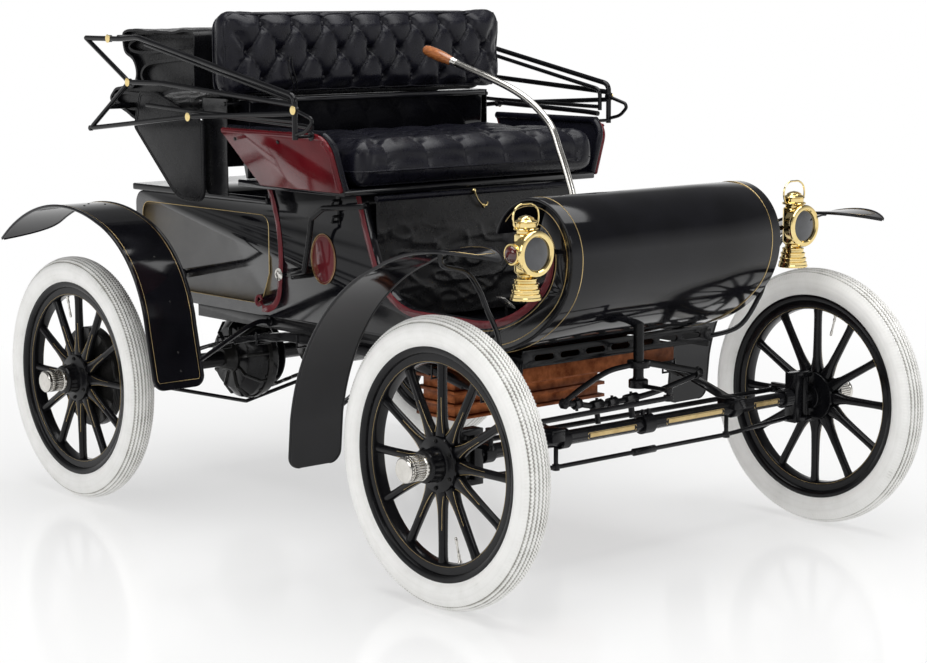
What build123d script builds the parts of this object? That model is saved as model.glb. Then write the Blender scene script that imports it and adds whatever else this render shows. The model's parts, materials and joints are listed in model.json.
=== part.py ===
"""A curved-dash runabout of about 1904: two seats, a rolled dash, a tiller and wood-spoked wheels.

Millimetres. The car faces -Y, its left is +X, and it stands on Z = 0 midway between its axles.
Outlines on the YZ plane are written as (y, z).
"""
from build123d import *
import math
import os

os.makedirs("parts", exist_ok=True)

# Driving dimensions
wheelbase = 1676
track = 1397
wheel_radius = 364
body_half_width = 385
body_bottom = 574
body_rear = 1000

# Fits shared by all pieces
seat_gap = 0.3
pin_gap = 0.05
turn_gap = 0.5

# Wheels
tyre_half_width = 44
rim_flange_radius = 295
rim_half_width = 30
rim_wall = 4
rim_bed_radius = 272
felloe_inner_radius = 247
felloe_half_width = 20
spoke_count = 12
spoke_root_width = 34
spoke_root_depth = 30
spoke_tip_width = 25
spoke_tip_depth = 24
spoke_root_radius = 60
hub_flange_radius = 70
hub_half_width = 24
hub_neck_radius = 42
hub_neck_out = 68
hub_inner_out = 38
hub_inner_radius = 36
cap_radius = 33
cap_edge = 5
cap_out = 128
hub_bore_radius = 18
hub_bore_depth_out = 60
brake_drum_radius = 150
brake_drum_depth = 34
brake_drum_wall = 6

# Axles and steering
front_tube_z = 372
front_tube_radius = 19
kingpin_inset = 58.5
kingpin_radius = 9
knuckle_radius = 16
fork_top = 440
fork_bottom = 300
fork_ear = 14
fork_half_width = 19
fork_web_gap = 28
fork_web_thickness = 28
spindle_end_out = 56
steering_arm = 110
arm_half_width = 8
arm_thickness = 12
rear_arm_z = 388
front_arm_z = 411
link_pin_radius = 6
link_eye_radius = 13
link_eye_thickness = 15
tie_rod_radius = 7
drag_link_z = 452
drag_link_radius = 7
post_set_back = 23
post_radius = 14
post_flange_radius = 26
post_flange_height = 10
pitman_z = 472
pitman_thickness = 12
pitman_half_width = 11
post_bend_z = 690
lever_radius = 10
lever_bend = 30
grip_radius = 17
grip_end_radius = 13
grip_y = -71
grip_z = 1306
grip_length = 128
grip_bulge = 70
grip_rise = 15

# Rear axle
rear_tube_radius = 25
rear_tube_inset = 43.5
casing_radius = 130
casing_half_width = 62
casing_edge = 34
casing_x = 90

# Springs
spring_inset = 11
spring_width = 44
leaf_thickness = 6.4
spring_end_z = 401
spring_end_half_length = 32
spring_flat_half_length = 250
spring_bow_y = 540
spring_bow_z = 473
short_leaf_shares = (0.78, 0.62, 0.46)

# Frame
rail_inset = 34
rail_height = 44
rail_flange = 38
rail_wall = 6
frame_front_set_back = 96
frame_rear_set_back = 118
cross_bar_depth = 30
cross_bar_height = 8
engine_front = 120
engine_rear_set_back = 160
engine_half_width = 210
engine_height = 190
gear_drum_radius = 75
gear_drum_length = 184
chain_x = -12
chain_front_set_back = 380
chain_front_z = 478
front_sprocket = 40
rear_sprocket = 104
sprocket_thickness = 5
chain_link = 25.4
chain_lap = 4
chain_height = 10
block_width = 7
plate_width = 12
front_member_top = 592
front_member_height = 46
front_member_thickness = 6
slot_count = 7
slot_pitch = 92
slot_length = 70
slot_height = 16
radiator_set_back = 342
radiator_length = 160
radiator_side_gap = 55
radiator_top = 540
radiator_bottom = 352
radiator_fin_count = 6
radiator_fin = 9
radiator_tray_set_back = 167
radiator_tray_thickness = 3
radiator_lip_height = 49
radiator_core_inset = 14
truss_radius = 6
truss_low_z = 300
truss_foot_radius = 10
truss_foot_height = 16
turnbuckle_half_length = 40
rear_truss_left_inset = 48.5
rear_truss_right_inset = 58.5
rear_truss_drop = 147

# Body
panel_thickness = 22
deck_top = 900
deck_corner = 42
deck_step_y = 300
seat_box_top = 955
seat_front_y = 130
floor_thickness = 18
floor_rear = 96
sill_width = 86
dash_thickness = 8
roll_radius = 148
roll_set_back = 20
roll_z = 843
roll_end_angle = 20
cheek_end_angle = 112
brow_radius = 200
toe_radius = 435.6
well_front = 371
well_radius = 190
well_rise_angle = 65
seat_board_thickness = 16
apron_y = 174
apron_thickness = 8
apron_bottom = 606
lid_thickness = 20
lid_overhang = 6
lid_rear = 1010
moulding_width = 20
moulding_thickness = 3
moulding_end_angle = 170
oval_width = 111
oval_height = 142

# Seat
seat_overhang = 85
seat_base_thickness = 20
seat_rear = 330
side_bottom_z = 968
side_height = 166
side_thickness = 12
side_flare_angle = 17
side_front_y = 166
side_bottom_rear = 202
side_top_rear = 335
side_corner = 7
side_front_corner = 62
cushion_inset = 22
cushion_front = 205
cushion_rear = 305
cushion_top = 1108
cushion_corner = 34
back_overhang = 58
back_front = 290
back_depth = 100
back_bottom = 1205
back_top = 1460
back_corner = 40
back_board_thickness = 14
curtain_thickness = 8
curtain_inset = 30
curtain_front = 342
curtain_rear = 500
curtain_corner = 45
curtain_bottom = 925
curtain_lid_clear = 1000
back_board_inset = 30

# Folded top
iron_gap = 66
iron_width = 15
iron_thickness = 10
knob_radius = 13
knob_length = 16
iron_foot_reach = 61.2
iron_foot_z = 1120
iron_foot_radius = 5
top_overhang = 50
bow_radius = 9
top_rear = 937
iron_top = 1376
top_bend = 12
flap_thickness = 8
flap_corner = 44

# Fenders
fender_inset = 80.5
fender_width = 172
fender_thickness = 4
fender_bead = 9
stay_radius = 7
stay_bend = 25
stay_foot_radius = 15
stay_foot_thickness = 8
leaf_length = 230
leaf_draw = 0.3
leaf_waist = 90
front_tip_offset = 5.5
rear_tip_offset = 86
fender_corner = 34
front_fender_shares = (
    (1.404, -0.234), (1.368, 0.132), (1.121, 0.733), (0.390, 1.302), (-0.170, 1.453), (-0.596, 1.418),
)
rear_fender_shares = (
    (-1.492, 0.099), (-1.382, 0.569), (-1.192, 1.014), (-0.703, 1.349), (-0.272, 1.437), (0.799, 1.100),
)

# Lamps
lamp_reach = 110
lamp_ahead = 97
lamp_base_z = 755
lamp_height = 208
lamp_body_radius = 30
lens_radius = 57
lens_z = 870
lens_ahead = 45
lens_rim_width = 8
lens_rim_depth = 14
jewel_radius = 33
jewel_reach = 60
bail_half_width = 42.5
bail_radius = 2.4
bail_bend = 12
bail_top = 987
bail_foot = 930
lamp_bracket_rise = 103
lamp_bracket_width = 22
lamp_lug = 8
lamp_lug_back = 4
lamp_bracket_height = 12

# Crank
crank_reach = 65
crank_radius = 8
crank_bend = 12

# Worked out from the above
axle_y = wheelbase / 2
wheel_x = track / 2
kingpin_x = wheel_x - kingpin_inset
fork_web_out = kingpin_x - fork_web_gap
fork_web_in = fork_web_out - fork_web_thickness
truss_strut_x = kingpin_x / 2
rear_tube_end_x = wheel_x - rear_tube_inset
fender_inner_x = wheel_x - fender_inset
front_tip_x = wheel_x + front_tip_offset
rear_tip_x = wheel_x + rear_tip_offset
post_y = axle_y - post_set_back
frame_front = axle_y - frame_front_set_back
frame_rear = axle_y - frame_rear_set_back
rail_outer_x = body_half_width - rail_inset
engine_rear = frame_rear - engine_rear_set_back
chain_front_y = frame_rear - chain_front_set_back
radiator_front = frame_front - radiator_set_back
radiator_rear = radiator_front - radiator_length
radiator_tray_front = axle_y - radiator_tray_set_back
rear_truss_ends = (-wheel_x + rear_truss_left_inset, wheel_x - rear_truss_right_inset)
roll_y = axle_y - roll_set_back
lamp_y = roll_y + lamp_ahead
lens_front = lamp_y + lens_ahead
spring_x = rail_outer_x - spring_inset
radiator_half_width = spring_x - radiator_side_gap
lamp_x = body_half_width + lamp_reach
crank_x = body_half_width + crank_reach
seat_half_width = body_half_width + seat_overhang
cushion_half_width = seat_half_width - cushion_inset
back_half_width = seat_half_width + back_overhang
back_board_half_width = seat_half_width - back_board_inset
curtain_half_width = back_half_width - curtain_inset
top_half_width = seat_half_width + top_overhang
iron_x = top_half_width + iron_gap
iron_foot_x = seat_half_width + iron_foot_reach
hub_z = wheel_radius
tyre_centre_radius = wheel_radius - tyre_half_width
dash_front = roll_y + roll_radius
brow_y = dash_front - brow_radius
toe_y = brow_y - (toe_radius - brow_radius) * math.cos(math.radians(45))
toe_z = roll_z + (toe_radius - brow_radius) * math.sin(math.radians(45))
sill_top = toe_z - toe_radius + sill_width
rail_bottom = body_bottom - seat_gap - rail_height
tie_rod_z = rear_arm_z - arm_thickness / 2 - turn_gap - link_eye_thickness / 2


def save(piece, label):
    """Name a finished piece and write it under that name."""
    piece.part.label = label
    export_step(piece.part, f"parts/{label}.step")


def shared(shares, reach, foot, rise):
    """Points (y, z) from rows of shares: of a reach along Y, and of a rise above a foot."""
    return [(share_y * reach, foot + share_z * rise) for share_y, share_z in shares]


def side_plane(x):
    """The YZ plane at x: sketches on it are (y, z) and extrude towards +X."""
    return Plane.YZ.offset(x)


def rod(points, radius, bend):
    """Add a round bar along a bent route to the piece being built."""
    with BuildLine():
        route = FilletPolyline(*points, radius=bend) if len(points) > 2 else Line(*points)
    with BuildSketch(Plane(origin=route @ 0, z_dir=route % 0)) as section:
        Circle(radius)
    sweep(section.sketch, path=route)


def pin(centre, axis, radius, length):
    """Add a straight round bar that starts at centre and runs along axis."""
    with BuildSketch(Plane(origin=centre, z_dir=axis)) as section:
        Circle(radius)
    extrude(section.sketch, amount=length)


def bar(low, high):
    """Add a rectangular bar between two opposite corners."""
    with BuildSketch(Plane(origin=((low[0] + high[0]) / 2, (low[1] + high[1]) / 2, low[2]))) as section:
        Rectangle(high[0] - low[0], high[1] - low[1])
    extrude(section.sketch, amount=high[2] - low[2])


# Wheels and tyres
def wheel(side, y, drum):
    """One wood wheel with its steel rim, hub and cap, about an axle along X."""
    centre = (side * wheel_x, y, hub_z)
    section = Plane(origin=centre, x_dir=(0, 0, 1), z_dir=(0, side, 0))
    axle = Axis(centre, (1, 0, 0))
    with BuildPart() as block:
        with BuildSketch(section):
            with BuildLine():
                Polyline(
                    (felloe_inner_radius, -felloe_half_width),
                    (rim_bed_radius, -felloe_half_width),
                    (rim_bed_radius, -rim_half_width),
                    (rim_flange_radius, -rim_half_width),
                    (rim_flange_radius, -rim_half_width + rim_wall),
                    (rim_bed_radius + rim_wall, -rim_half_width + rim_wall),
                    (rim_bed_radius + rim_wall, rim_half_width - rim_wall),
                    (rim_flange_radius, rim_half_width - rim_wall),
                    (rim_flange_radius, rim_half_width),
                    (rim_bed_radius, rim_half_width),
                    (rim_bed_radius, felloe_half_width),
                    (felloe_inner_radius, felloe_half_width),
                    close=True,
                )
            make_face()
            with BuildLine():
                Polyline(
                    (hub_bore_radius + pin_gap, -hub_inner_out),
                    (hub_inner_radius, -hub_inner_out),
                    (hub_inner_radius, -hub_half_width),
                    (hub_flange_radius, -hub_half_width),
                    (hub_flange_radius, hub_half_width),
                    (hub_neck_radius, hub_half_width),
                    (hub_neck_radius, hub_neck_out),
                    (cap_radius, hub_neck_out),
                    (cap_radius, cap_out - cap_edge),
                    (cap_radius - cap_edge, cap_out),
                    (0, cap_out),
                    (0, hub_bore_depth_out),
                    (hub_bore_radius + pin_gap, hub_bore_depth_out),
                    close=True,
                )
            make_face()
        revolve(axis=axle)
        spoke_reach = felloe_inner_radius + rim_wall
        for turn in range(spoke_count):
            angle = math.radians(turn * 360 / spoke_count)
            along = Vector(0, math.sin(angle), math.cos(angle))
            root = Plane(origin=Vector(*centre) + along * spoke_root_radius, x_dir=(1, 0, 0), z_dir=along)
            with BuildSketch(root):
                Ellipse(spoke_root_depth / 2, spoke_root_width / 2)
            with BuildSketch(root.offset(spoke_reach - spoke_root_radius)):
                Ellipse(spoke_tip_depth / 2, spoke_tip_width / 2)
            loft()
        if drum:
            with BuildSketch(section):
                with BuildLine():
                    Polyline(
                        (hub_inner_radius, -hub_half_width),
                        (brake_drum_radius, -hub_half_width),
                        (brake_drum_radius, -hub_half_width - brake_drum_depth),
                        (brake_drum_radius - brake_drum_wall, -hub_half_width - brake_drum_depth),
                        (brake_drum_radius - brake_drum_wall, -hub_half_width - brake_drum_wall),
                        (hub_inner_radius, -hub_half_width - brake_drum_wall),
                        close=True,
                    )
                make_face()
            revolve(axis=axle)
    return block


def tyre(side, y):
    """One plain round tyre seated in its rim."""
    centre = (side * wheel_x, y, hub_z)
    section = Plane(origin=centre, x_dir=(0, 0, 1), z_dir=(0, side, 0))
    lip = rim_flange_radius + seat_gap
    lip_half = math.sqrt(tyre_half_width**2 - (tyre_centre_radius - lip) ** 2)
    bead_half = rim_half_width - rim_wall - seat_gap
    bead_radius = rim_bed_radius + rim_wall + seat_gap
    with BuildPart() as block:
        with BuildSketch(section):
            with BuildLine():
                ThreePointArc((lip, -lip_half), (wheel_radius, 0), (lip, lip_half))
                Polyline(
                    (lip, lip_half),
                    (lip, bead_half),
                    (bead_radius, bead_half),
                    (bead_radius, -bead_half),
                    (lip, -bead_half),
                    (lip, -lip_half),
                )
            make_face()
        revolve(axis=Axis(centre, (1, 0, 0)))
    return block


# Rows: name, side (+1 is the car's left), y of the axle, has a brake drum
for corner, side, y, drum in (
    ("fl", 1, -axle_y, False),
    ("fr", -1, -axle_y, False),
    ("rl", 1, axle_y, True),
    ("rr", -1, axle_y, True),
):
    save(wheel(side, y, drum), f"wheel_{corner}")
    save(tyre(side, y), f"tyre_{corner}")

# Front axle: tube, forks with their kingpins, and the seats that the springs sit on
with BuildPart() as front_axle:
    pin((-fork_web_out, -axle_y, front_tube_z), (1, 0, 0), front_tube_radius, 2 * fork_web_out)
    ear_out = kingpin_x + knuckle_radius
    for side in (-1, 1):
        web = (side * fork_web_in, side * fork_web_out)
        ears = (side * fork_web_in, side * ear_out)
        bar(
            (min(web), -axle_y - fork_half_width, fork_bottom),
            (max(web), -axle_y + fork_half_width, fork_top),
        )
        for ear_z in (fork_bottom, fork_top - fork_ear):
            bar(
                (min(ears), -axle_y - fork_half_width, ear_z),
                (max(ears), -axle_y + fork_half_width, ear_z + fork_ear),
            )
        pin((side * kingpin_x, -axle_y, fork_bottom), (0, 0, 1), kingpin_radius, fork_top - fork_bottom)
        seat_top = spring_end_z - leaf_thickness / 2 - seat_gap
        bar(
            (side * spring_x - spring_width / 2, -axle_y - spring_end_half_length, front_tube_z),
            (side * spring_x + spring_width / 2, -axle_y + spring_end_half_length, seat_top),
        )
save(front_axle, "front_axle")

# Truss rod under the front axle, held off it by two struts
truss_end = Vector(fork_web_in - turn_gap, -axle_y, fork_bottom + fork_ear)
truss_foot = Vector(truss_strut_x, -axle_y, truss_low_z)
with BuildPart() as front_truss_rod:
    pin(truss_foot - Vector(2 * truss_strut_x, 0, 0), (1, 0, 0), truss_radius, 2 * truss_strut_x)
    for side in (-1, 1):
        foot = Vector(side * truss_foot.X, truss_foot.Y, truss_foot.Z)
        end = Vector(side * truss_end.X, truss_end.Y, truss_end.Z)
        pin(foot, end - foot, truss_radius, (end - foot).length)
        pin(foot - Vector(0, 0, truss_foot_height / 2), (0, 0, 1), truss_foot_radius, truss_foot_height)
        pin(foot, (0, 0, 1), truss_radius, front_tube_z - front_tube_radius - seat_gap - truss_low_z)
    pin(
        (-turnbuckle_half_length, -axle_y, truss_low_z),
        (1, 0, 0),
        truss_foot_radius,
        2 * turnbuckle_half_length,
    )
save(front_truss_rod, "front_truss_rod")

# Knuckles: kingpin boss, wheel spindle and steering arms


def knuckle(side, forward_arm):
    """One steering knuckle; the right one also carries the forward arm of the drag link."""
    with BuildPart() as block:
        boss_low = fork_bottom + fork_ear + turn_gap
        boss_high = fork_top - fork_ear - turn_gap
        pin((side * kingpin_x, -axle_y, boss_low), (0, 0, 1), knuckle_radius, boss_high - boss_low)
        spindle_start = kingpin_x
        spindle_length = wheel_x + spindle_end_out - spindle_start
        pin((side * spindle_start, -axle_y, hub_z), (side, 0, 0), hub_bore_radius, spindle_length)
        arm_x = (side * kingpin_x - arm_half_width, side * kingpin_x + arm_half_width)
        arm_y = -axle_y + steering_arm
        bar(
            (arm_x[0], -axle_y, rear_arm_z - arm_thickness / 2),
            (arm_x[1], arm_y, rear_arm_z + arm_thickness / 2),
        )
        pin(
            (side * kingpin_x, arm_y, rear_arm_z + arm_thickness / 2),
            (0, 0, -1),
            arm_half_width,
            arm_thickness,
        )
        pin_bottom = tie_rod_z - link_eye_thickness / 2
        pin((side * kingpin_x, arm_y, rear_arm_z), (0, 0, -1), link_pin_radius, rear_arm_z - pin_bottom)
        if forward_arm:
            arm_y = -axle_y - steering_arm
            bar(
                (arm_x[0], arm_y, front_arm_z - arm_thickness / 2),
                (arm_x[1], -axle_y, front_arm_z + arm_thickness / 2),
            )
            pin(
                (side * kingpin_x, arm_y, front_arm_z - arm_thickness / 2),
                (0, 0, 1),
                arm_half_width,
                arm_thickness,
            )
            pin_top = drag_link_z + link_eye_thickness / 2
            pin((side * kingpin_x, arm_y, front_arm_z), (0, 0, 1), link_pin_radius, pin_top - front_arm_z)
        with BuildSketch(Plane.XY.offset(boss_low)):
            with Locations((side * kingpin_x, -axle_y)):
                Circle(kingpin_radius + pin_gap)
        extrude(amount=boss_high - boss_low, mode=Mode.SUBTRACT)
    return block


save(knuckle(1, False), "knuckle_left")
save(knuckle(-1, True), "knuckle_right")


def link(start, end, radius):
    """A round link with a bored eye at each end, standing on vertical pins."""
    with BuildPart() as block:
        pin(start, Vector(*end) - Vector(*start), radius, (Vector(*end) - Vector(*start)).length)
        for eye in (start, end):
            low = eye[2] - link_eye_thickness / 2
            pin((eye[0], eye[1], low), (0, 0, 1), link_eye_radius, link_eye_thickness)
        for eye in (start, end):
            with BuildSketch(Plane.XY.offset(eye[2] - link_eye_thickness)):
                with Locations((eye[0], eye[1])):
                    Circle(link_pin_radius + pin_gap)
            extrude(amount=2 * link_eye_thickness, mode=Mode.SUBTRACT)
    return block


tie_y = -axle_y + steering_arm
save(link((-kingpin_x, tie_y, tie_rod_z), (kingpin_x, tie_y, tie_rod_z), tie_rod_radius), "tie_rod")
drag_start = (-kingpin_x, -axle_y - steering_arm, drag_link_z)
drag_end = (0, -post_y - steering_arm, drag_link_z)
save(link(drag_start, drag_end, drag_link_radius), "drag_link")

# Tiller: upright post with its pitman arm, and the long bent lever. Shares are of the grip's place.
lever_shares = ((0.905, 0.16), (0.71, 0.30), (0.65, 0.47), (0.595, 0.615), (0.525, 0.755), (0.35, 0.879))
lever_rise = grip_z - post_bend_z
lever_run = grip_y + post_y
lever_points = [
    (0, grip_y - share_y * lever_run, post_bend_z + share_z * lever_rise) for share_y, share_z in lever_shares
]
with BuildPart() as tiller:
    pitman_bottom = pitman_z - pitman_thickness / 2
    pin((0, -post_y, pitman_bottom), (0, 0, 1), post_radius, post_bend_z - pitman_bottom)
    pin((0, -post_y, pitman_bottom), (0, 0, 1), post_flange_radius, pitman_thickness + post_flange_height)
    bar(
        (-pitman_half_width, -post_y - steering_arm, pitman_bottom),
        (pitman_half_width, -post_y, pitman_bottom + pitman_thickness),
    )
    pin((0, -post_y - steering_arm, pitman_bottom), (0, 0, 1), pitman_half_width, pitman_thickness)
    link_pin_bottom = drag_link_z - link_eye_thickness / 2
    pin((0, -post_y - steering_arm, link_pin_bottom), (0, 0, 1), link_pin_radius, pitman_z - link_pin_bottom)
    rod(
        ((0, -post_y, post_bend_z - post_radius), *lever_points, (0, grip_y, grip_z)),
        lever_radius,
        lever_bend,
    )
save(tiller, "tiller")

grip_way = Vector(0, math.cos(math.radians(grip_rise)), math.sin(math.radians(grip_rise)))
with BuildPart() as tiller_grip:
    with BuildSketch(Plane(origin=Vector(0, grip_y, grip_z) + grip_way * seat_gap, z_dir=grip_way)):
        Circle(grip_end_radius)
    with BuildSketch(Plane(origin=Vector(0, grip_y, grip_z) + grip_way * grip_bulge, z_dir=grip_way)):
        Circle(grip_radius)
    with BuildSketch(Plane(origin=Vector(0, grip_y, grip_z) + grip_way * grip_length, z_dir=grip_way)):
        Circle(grip_end_radius)
    loft()
save(tiller_grip, "tiller_grip")

# Rear axle: tube, spindles, and the differential casing
with BuildPart() as rear_axle:
    pin((-rear_tube_end_x, axle_y, hub_z), (1, 0, 0), rear_tube_radius, 2 * rear_tube_end_x)
    spindle = wheel_x + spindle_end_out
    pin((-spindle, axle_y, hub_z), (1, 0, 0), hub_bore_radius, 2 * spindle)
    with BuildSketch(Plane(origin=(-casing_x, axle_y, hub_z), x_dir=(0, 0, 1), z_dir=(0, 1, 0))):
        with BuildLine():
            Polyline(
                (0, -casing_half_width),
                (casing_radius - casing_edge, -casing_half_width),
                (casing_radius, -casing_half_width + casing_edge),
                (casing_radius, casing_half_width - casing_edge),
                (casing_radius - casing_edge, casing_half_width),
                (0, casing_half_width),
                close=True,
            )
        make_face()
    revolve(axis=Axis((0, axle_y, hub_z), (1, 0, 0)))
    disc_radius = rear_sprocket - chain_height / 2 - seat_gap
    pin((chain_x - sprocket_thickness / 2, axle_y, hub_z), (1, 0, 0), disc_radius, sprocket_thickness)
    low_point = (-casing_x - truss_radius, axle_y, hub_z - rear_truss_drop)
    for end_x in rear_truss_ends:
        run = Vector(end_x, axle_y, hub_z) - Vector(*low_point)
        pin(low_point, run, truss_radius, run.length)
    for side in (-1, 1):
        seat_top = spring_end_z - leaf_thickness / 2 - seat_gap
        bar(
            (side * spring_x - spring_width / 2, axle_y - spring_end_half_length, hub_z),
            (side * spring_x + spring_width / 2, axle_y + spring_end_half_length, seat_top),
        )
save(rear_axle, "rear_axle")


# Springs: long side springs that run from axle to axle under the rails
def leaf(drop, reach):
    """One spring leaf on the left side, dropped below the main leaf and cut at a reach each way."""
    with BuildSketch(side_plane(spring_x - spring_width / 2)) as section:
        with BuildLine():
            flat_z = rail_bottom - seat_gap - leaf_thickness - drop
            low_z = spring_end_z - leaf_thickness / 2 - drop
            end_y = axle_y - spring_end_half_length
            for step in (0, leaf_thickness):
                Line((-spring_flat_half_length, flat_z + step), (spring_flat_half_length, flat_z + step))
                for way in (-1, 1):
                    ThreePointArc(
                        (way * spring_flat_half_length, flat_z + step),
                        (way * spring_bow_y, spring_bow_z - drop + step),
                        (way * end_y, low_z + step),
                    )
                    Line((way * end_y, low_z + step), (way * (axle_y + spring_end_half_length), low_z + step))
            for way in (-1, 1):
                tip = way * (axle_y + spring_end_half_length)
                Line((tip, low_z), (tip, low_z + leaf_thickness))
        make_face()
        if reach:
            with Locations((0, spring_bow_z)):
                Rectangle(2 * reach, spring_bow_z, mode=Mode.INTERSECT)
    extrude(section.sketch, amount=spring_width)


with BuildPart() as springs:
    leaf(0, 0)
    for count, share in enumerate(short_leaf_shares, 1):
        leaf(count * leaf_thickness, share * axle_y)
    mirror(about=Plane.YZ)
save(springs, "springs")

# Frame of rolled angle, with two bars that carry the engine
with BuildPart() as frame_rails:
    with BuildSketch(Plane.XZ.offset(-frame_rear)):
        with BuildLine():
            top = rail_bottom + rail_height
            Polyline(
                (rail_outer_x, rail_bottom),
                (rail_outer_x, top),
                (rail_outer_x - rail_flange, top),
                (rail_outer_x - rail_flange, top - rail_wall),
                (rail_outer_x - rail_wall, top - rail_wall),
                (rail_outer_x - rail_wall, rail_bottom),
                close=True,
            )
        make_face()
    extrude(amount=frame_front + frame_rear)
    mirror(about=Plane.YZ)
    inner_x = rail_outer_x - rail_wall
    for bar_y in (engine_front, engine_rear):
        bar(
            (-inner_x, bar_y, rail_bottom),
            (inner_x, bar_y + cross_bar_depth, rail_bottom + cross_bar_height),
        )
    bar((-inner_x, frame_rear - rail_wall, rail_bottom), (inner_x, frame_rear, rail_bottom + rail_height))
save(frame_rails, "frame_rails")

with BuildPart() as front_cross_member:
    with BuildSketch(Plane.XZ.offset(frame_front + seat_gap)):
        with Locations((0, front_member_top - front_member_height / 2)):
            Rectangle(2 * rail_outer_x, front_member_height)
        with Locations((0, front_member_top - front_member_height / 2)):
            with GridLocations(slot_pitch, 0, slot_count, 1):
                SlotOverall(slot_length, slot_height, mode=Mode.SUBTRACT)
    extrude(amount=front_member_thickness)
save(front_cross_member, "front_cross_member")

with BuildPart() as engine_block:
    engine_floor = rail_bottom + cross_bar_height + seat_gap
    bar(
        (-engine_half_width, engine_front, engine_floor),
        (engine_half_width, engine_rear, engine_floor + engine_height),
    )
    fillet(engine_block.edges().filter_by(Axis.X), radius=cross_bar_depth)
    drum_start = -engine_half_width
    pin((drum_start, chain_front_y, chain_front_z), (1, 0, 0), gear_drum_radius, gear_drum_length)
    shaft_end = chain_x + sprocket_thickness
    pin((drum_start, chain_front_y, chain_front_z), (1, 0, 0), hub_bore_radius, shaft_end - drum_start)
    sprocket_start = chain_x - sprocket_thickness / 2
    disc_radius = front_sprocket - chain_height / 2 - seat_gap
    pin((sprocket_start, chain_front_y, chain_front_z), (1, 0, 0), disc_radius, sprocket_thickness)
save(engine_block, "engine_block")

run_way = math.hypot(axle_y - chain_front_y, hub_z - chain_front_z)
run_angle = math.atan2(hub_z - chain_front_z, axle_y - chain_front_y)
spread = math.asin((rear_sprocket - front_sprocket) / run_way)
straight = run_way * math.cos(spread)


def chain_place(way):
    """Where the chain is, and its slope, after a way along it from the front sprocket's top."""
    # Rows: sprocket centre, its radius, where the wrap starts, how far it turns
    wraps = (
        ((axle_y, hub_z), rear_sprocket, run_angle + math.pi / 2 + spread, math.pi + 2 * spread),
        ((chain_front_y, chain_front_z), front_sprocket, run_angle - math.pi / 2 - spread, math.pi - 2 * spread),
    )
    for (centre_y, centre_z), radius, start, turn in wraps:
        tangent = start - math.pi / 2
        if way < straight:
            short = straight - way
            y = centre_y + radius * math.cos(start) - short * math.cos(tangent)
            z = centre_z + radius * math.sin(start) - short * math.sin(tangent)
            return y, z, tangent
        way -= straight
        if way < radius * turn:
            angle = start - way / radius
            return centre_y + radius * math.cos(angle), centre_z + radius * math.sin(angle), angle - math.pi / 2
        way -= radius * turn


chain_length = 2 * straight + rear_sprocket * (math.pi + 2 * spread) + front_sprocket * (math.pi - 2 * spread)
link_count = 2 * round(chain_length / chain_link / 2)
with BuildPart() as drive_chain:
    for link_index in range(link_count):
        y, z, slope = chain_place((link_index + 1 / 2) * chain_length / link_count)
        with Locations(Location((chain_x, y, z), (math.degrees(slope), 0, 0))):
            Box(block_width if link_index % 2 else plate_width, chain_link + chain_lap, chain_height)
save(drive_chain, "drive_chain")

# Radiator: a finned copper core on hangers from the rails
with BuildPart() as radiator:
    core = radiator_core_inset
    bar(
        (-radiator_half_width + core, -radiator_front + core, radiator_bottom),
        (radiator_half_width - core, -radiator_rear - core, radiator_top),
    )
    pitch = (radiator_top - radiator_bottom - radiator_fin) / (radiator_fin_count - 1)
    for level in range(radiator_fin_count):
        low = radiator_bottom + level * pitch
        bar(
            (-radiator_half_width, -radiator_front, low),
            (radiator_half_width, -radiator_rear, low + radiator_fin),
        )
    tray = radiator_tray_thickness
    bar(
        (-radiator_half_width, -radiator_tray_front, radiator_top - tray),
        (radiator_half_width, -radiator_front + core, radiator_top),
    )
    bar(
        (-radiator_half_width, -radiator_tray_front, radiator_top - radiator_lip_height),
        (radiator_half_width, -radiator_tray_front + tray, radiator_top),
    )
    hanger_x = rail_outer_x - rail_wall - seat_gap
    for hanger_y in (radiator_front - cross_bar_depth, radiator_rear + cross_bar_depth):
        bar(
            (-hanger_x, -hanger_y, radiator_top - radiator_fin),
            (hanger_x, -hanger_y + cross_bar_depth, radiator_top + cross_bar_height),
        )
save(radiator, "radiator")

# Body
def roll_arc(inset, end_angle):
    """The dash's rolled top, inset from its outer face, from its foremost point up and over."""
    CenterArc((-roll_y, roll_z), roll_radius - inset, 180, end_angle - 180)


def toe_arcs(inset):
    """The dash's brow and toe, inset from its outer face, from its foremost point down to the floor."""
    CenterArc((-brow_y, roll_z), brow_radius - inset, 180, 45)
    CenterArc((-toe_y, toe_z), toe_radius - inset, 225, 45)


def on_roll(inset, angle):
    """A point of the roll, inset from its outer face."""
    reach = roll_radius - inset
    return (-roll_y + reach * math.cos(math.radians(angle)), roll_z + reach * math.sin(math.radians(angle)))


with BuildPart() as dash_panel:
    with BuildSketch(side_plane(-body_half_width)):
        with BuildLine():
            for inset in (0, dash_thickness):
                roll_arc(inset, roll_end_angle)
                toe_arcs(inset)
            Line(on_roll(0, roll_end_angle), on_roll(dash_thickness, roll_end_angle))
            Line((-toe_y, toe_z - toe_radius), (-toe_y, toe_z - toe_radius + dash_thickness))
        make_face()
    extrude(amount=2 * body_half_width)
    with BuildSketch(Plane.XY.offset(body_bottom)):
        with Locations((0, -post_y)):
            Circle(post_radius + turn_gap)
    extrude(amount=roll_z - body_bottom, mode=Mode.SUBTRACT)
save(dash_panel, "dash_panel")

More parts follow.
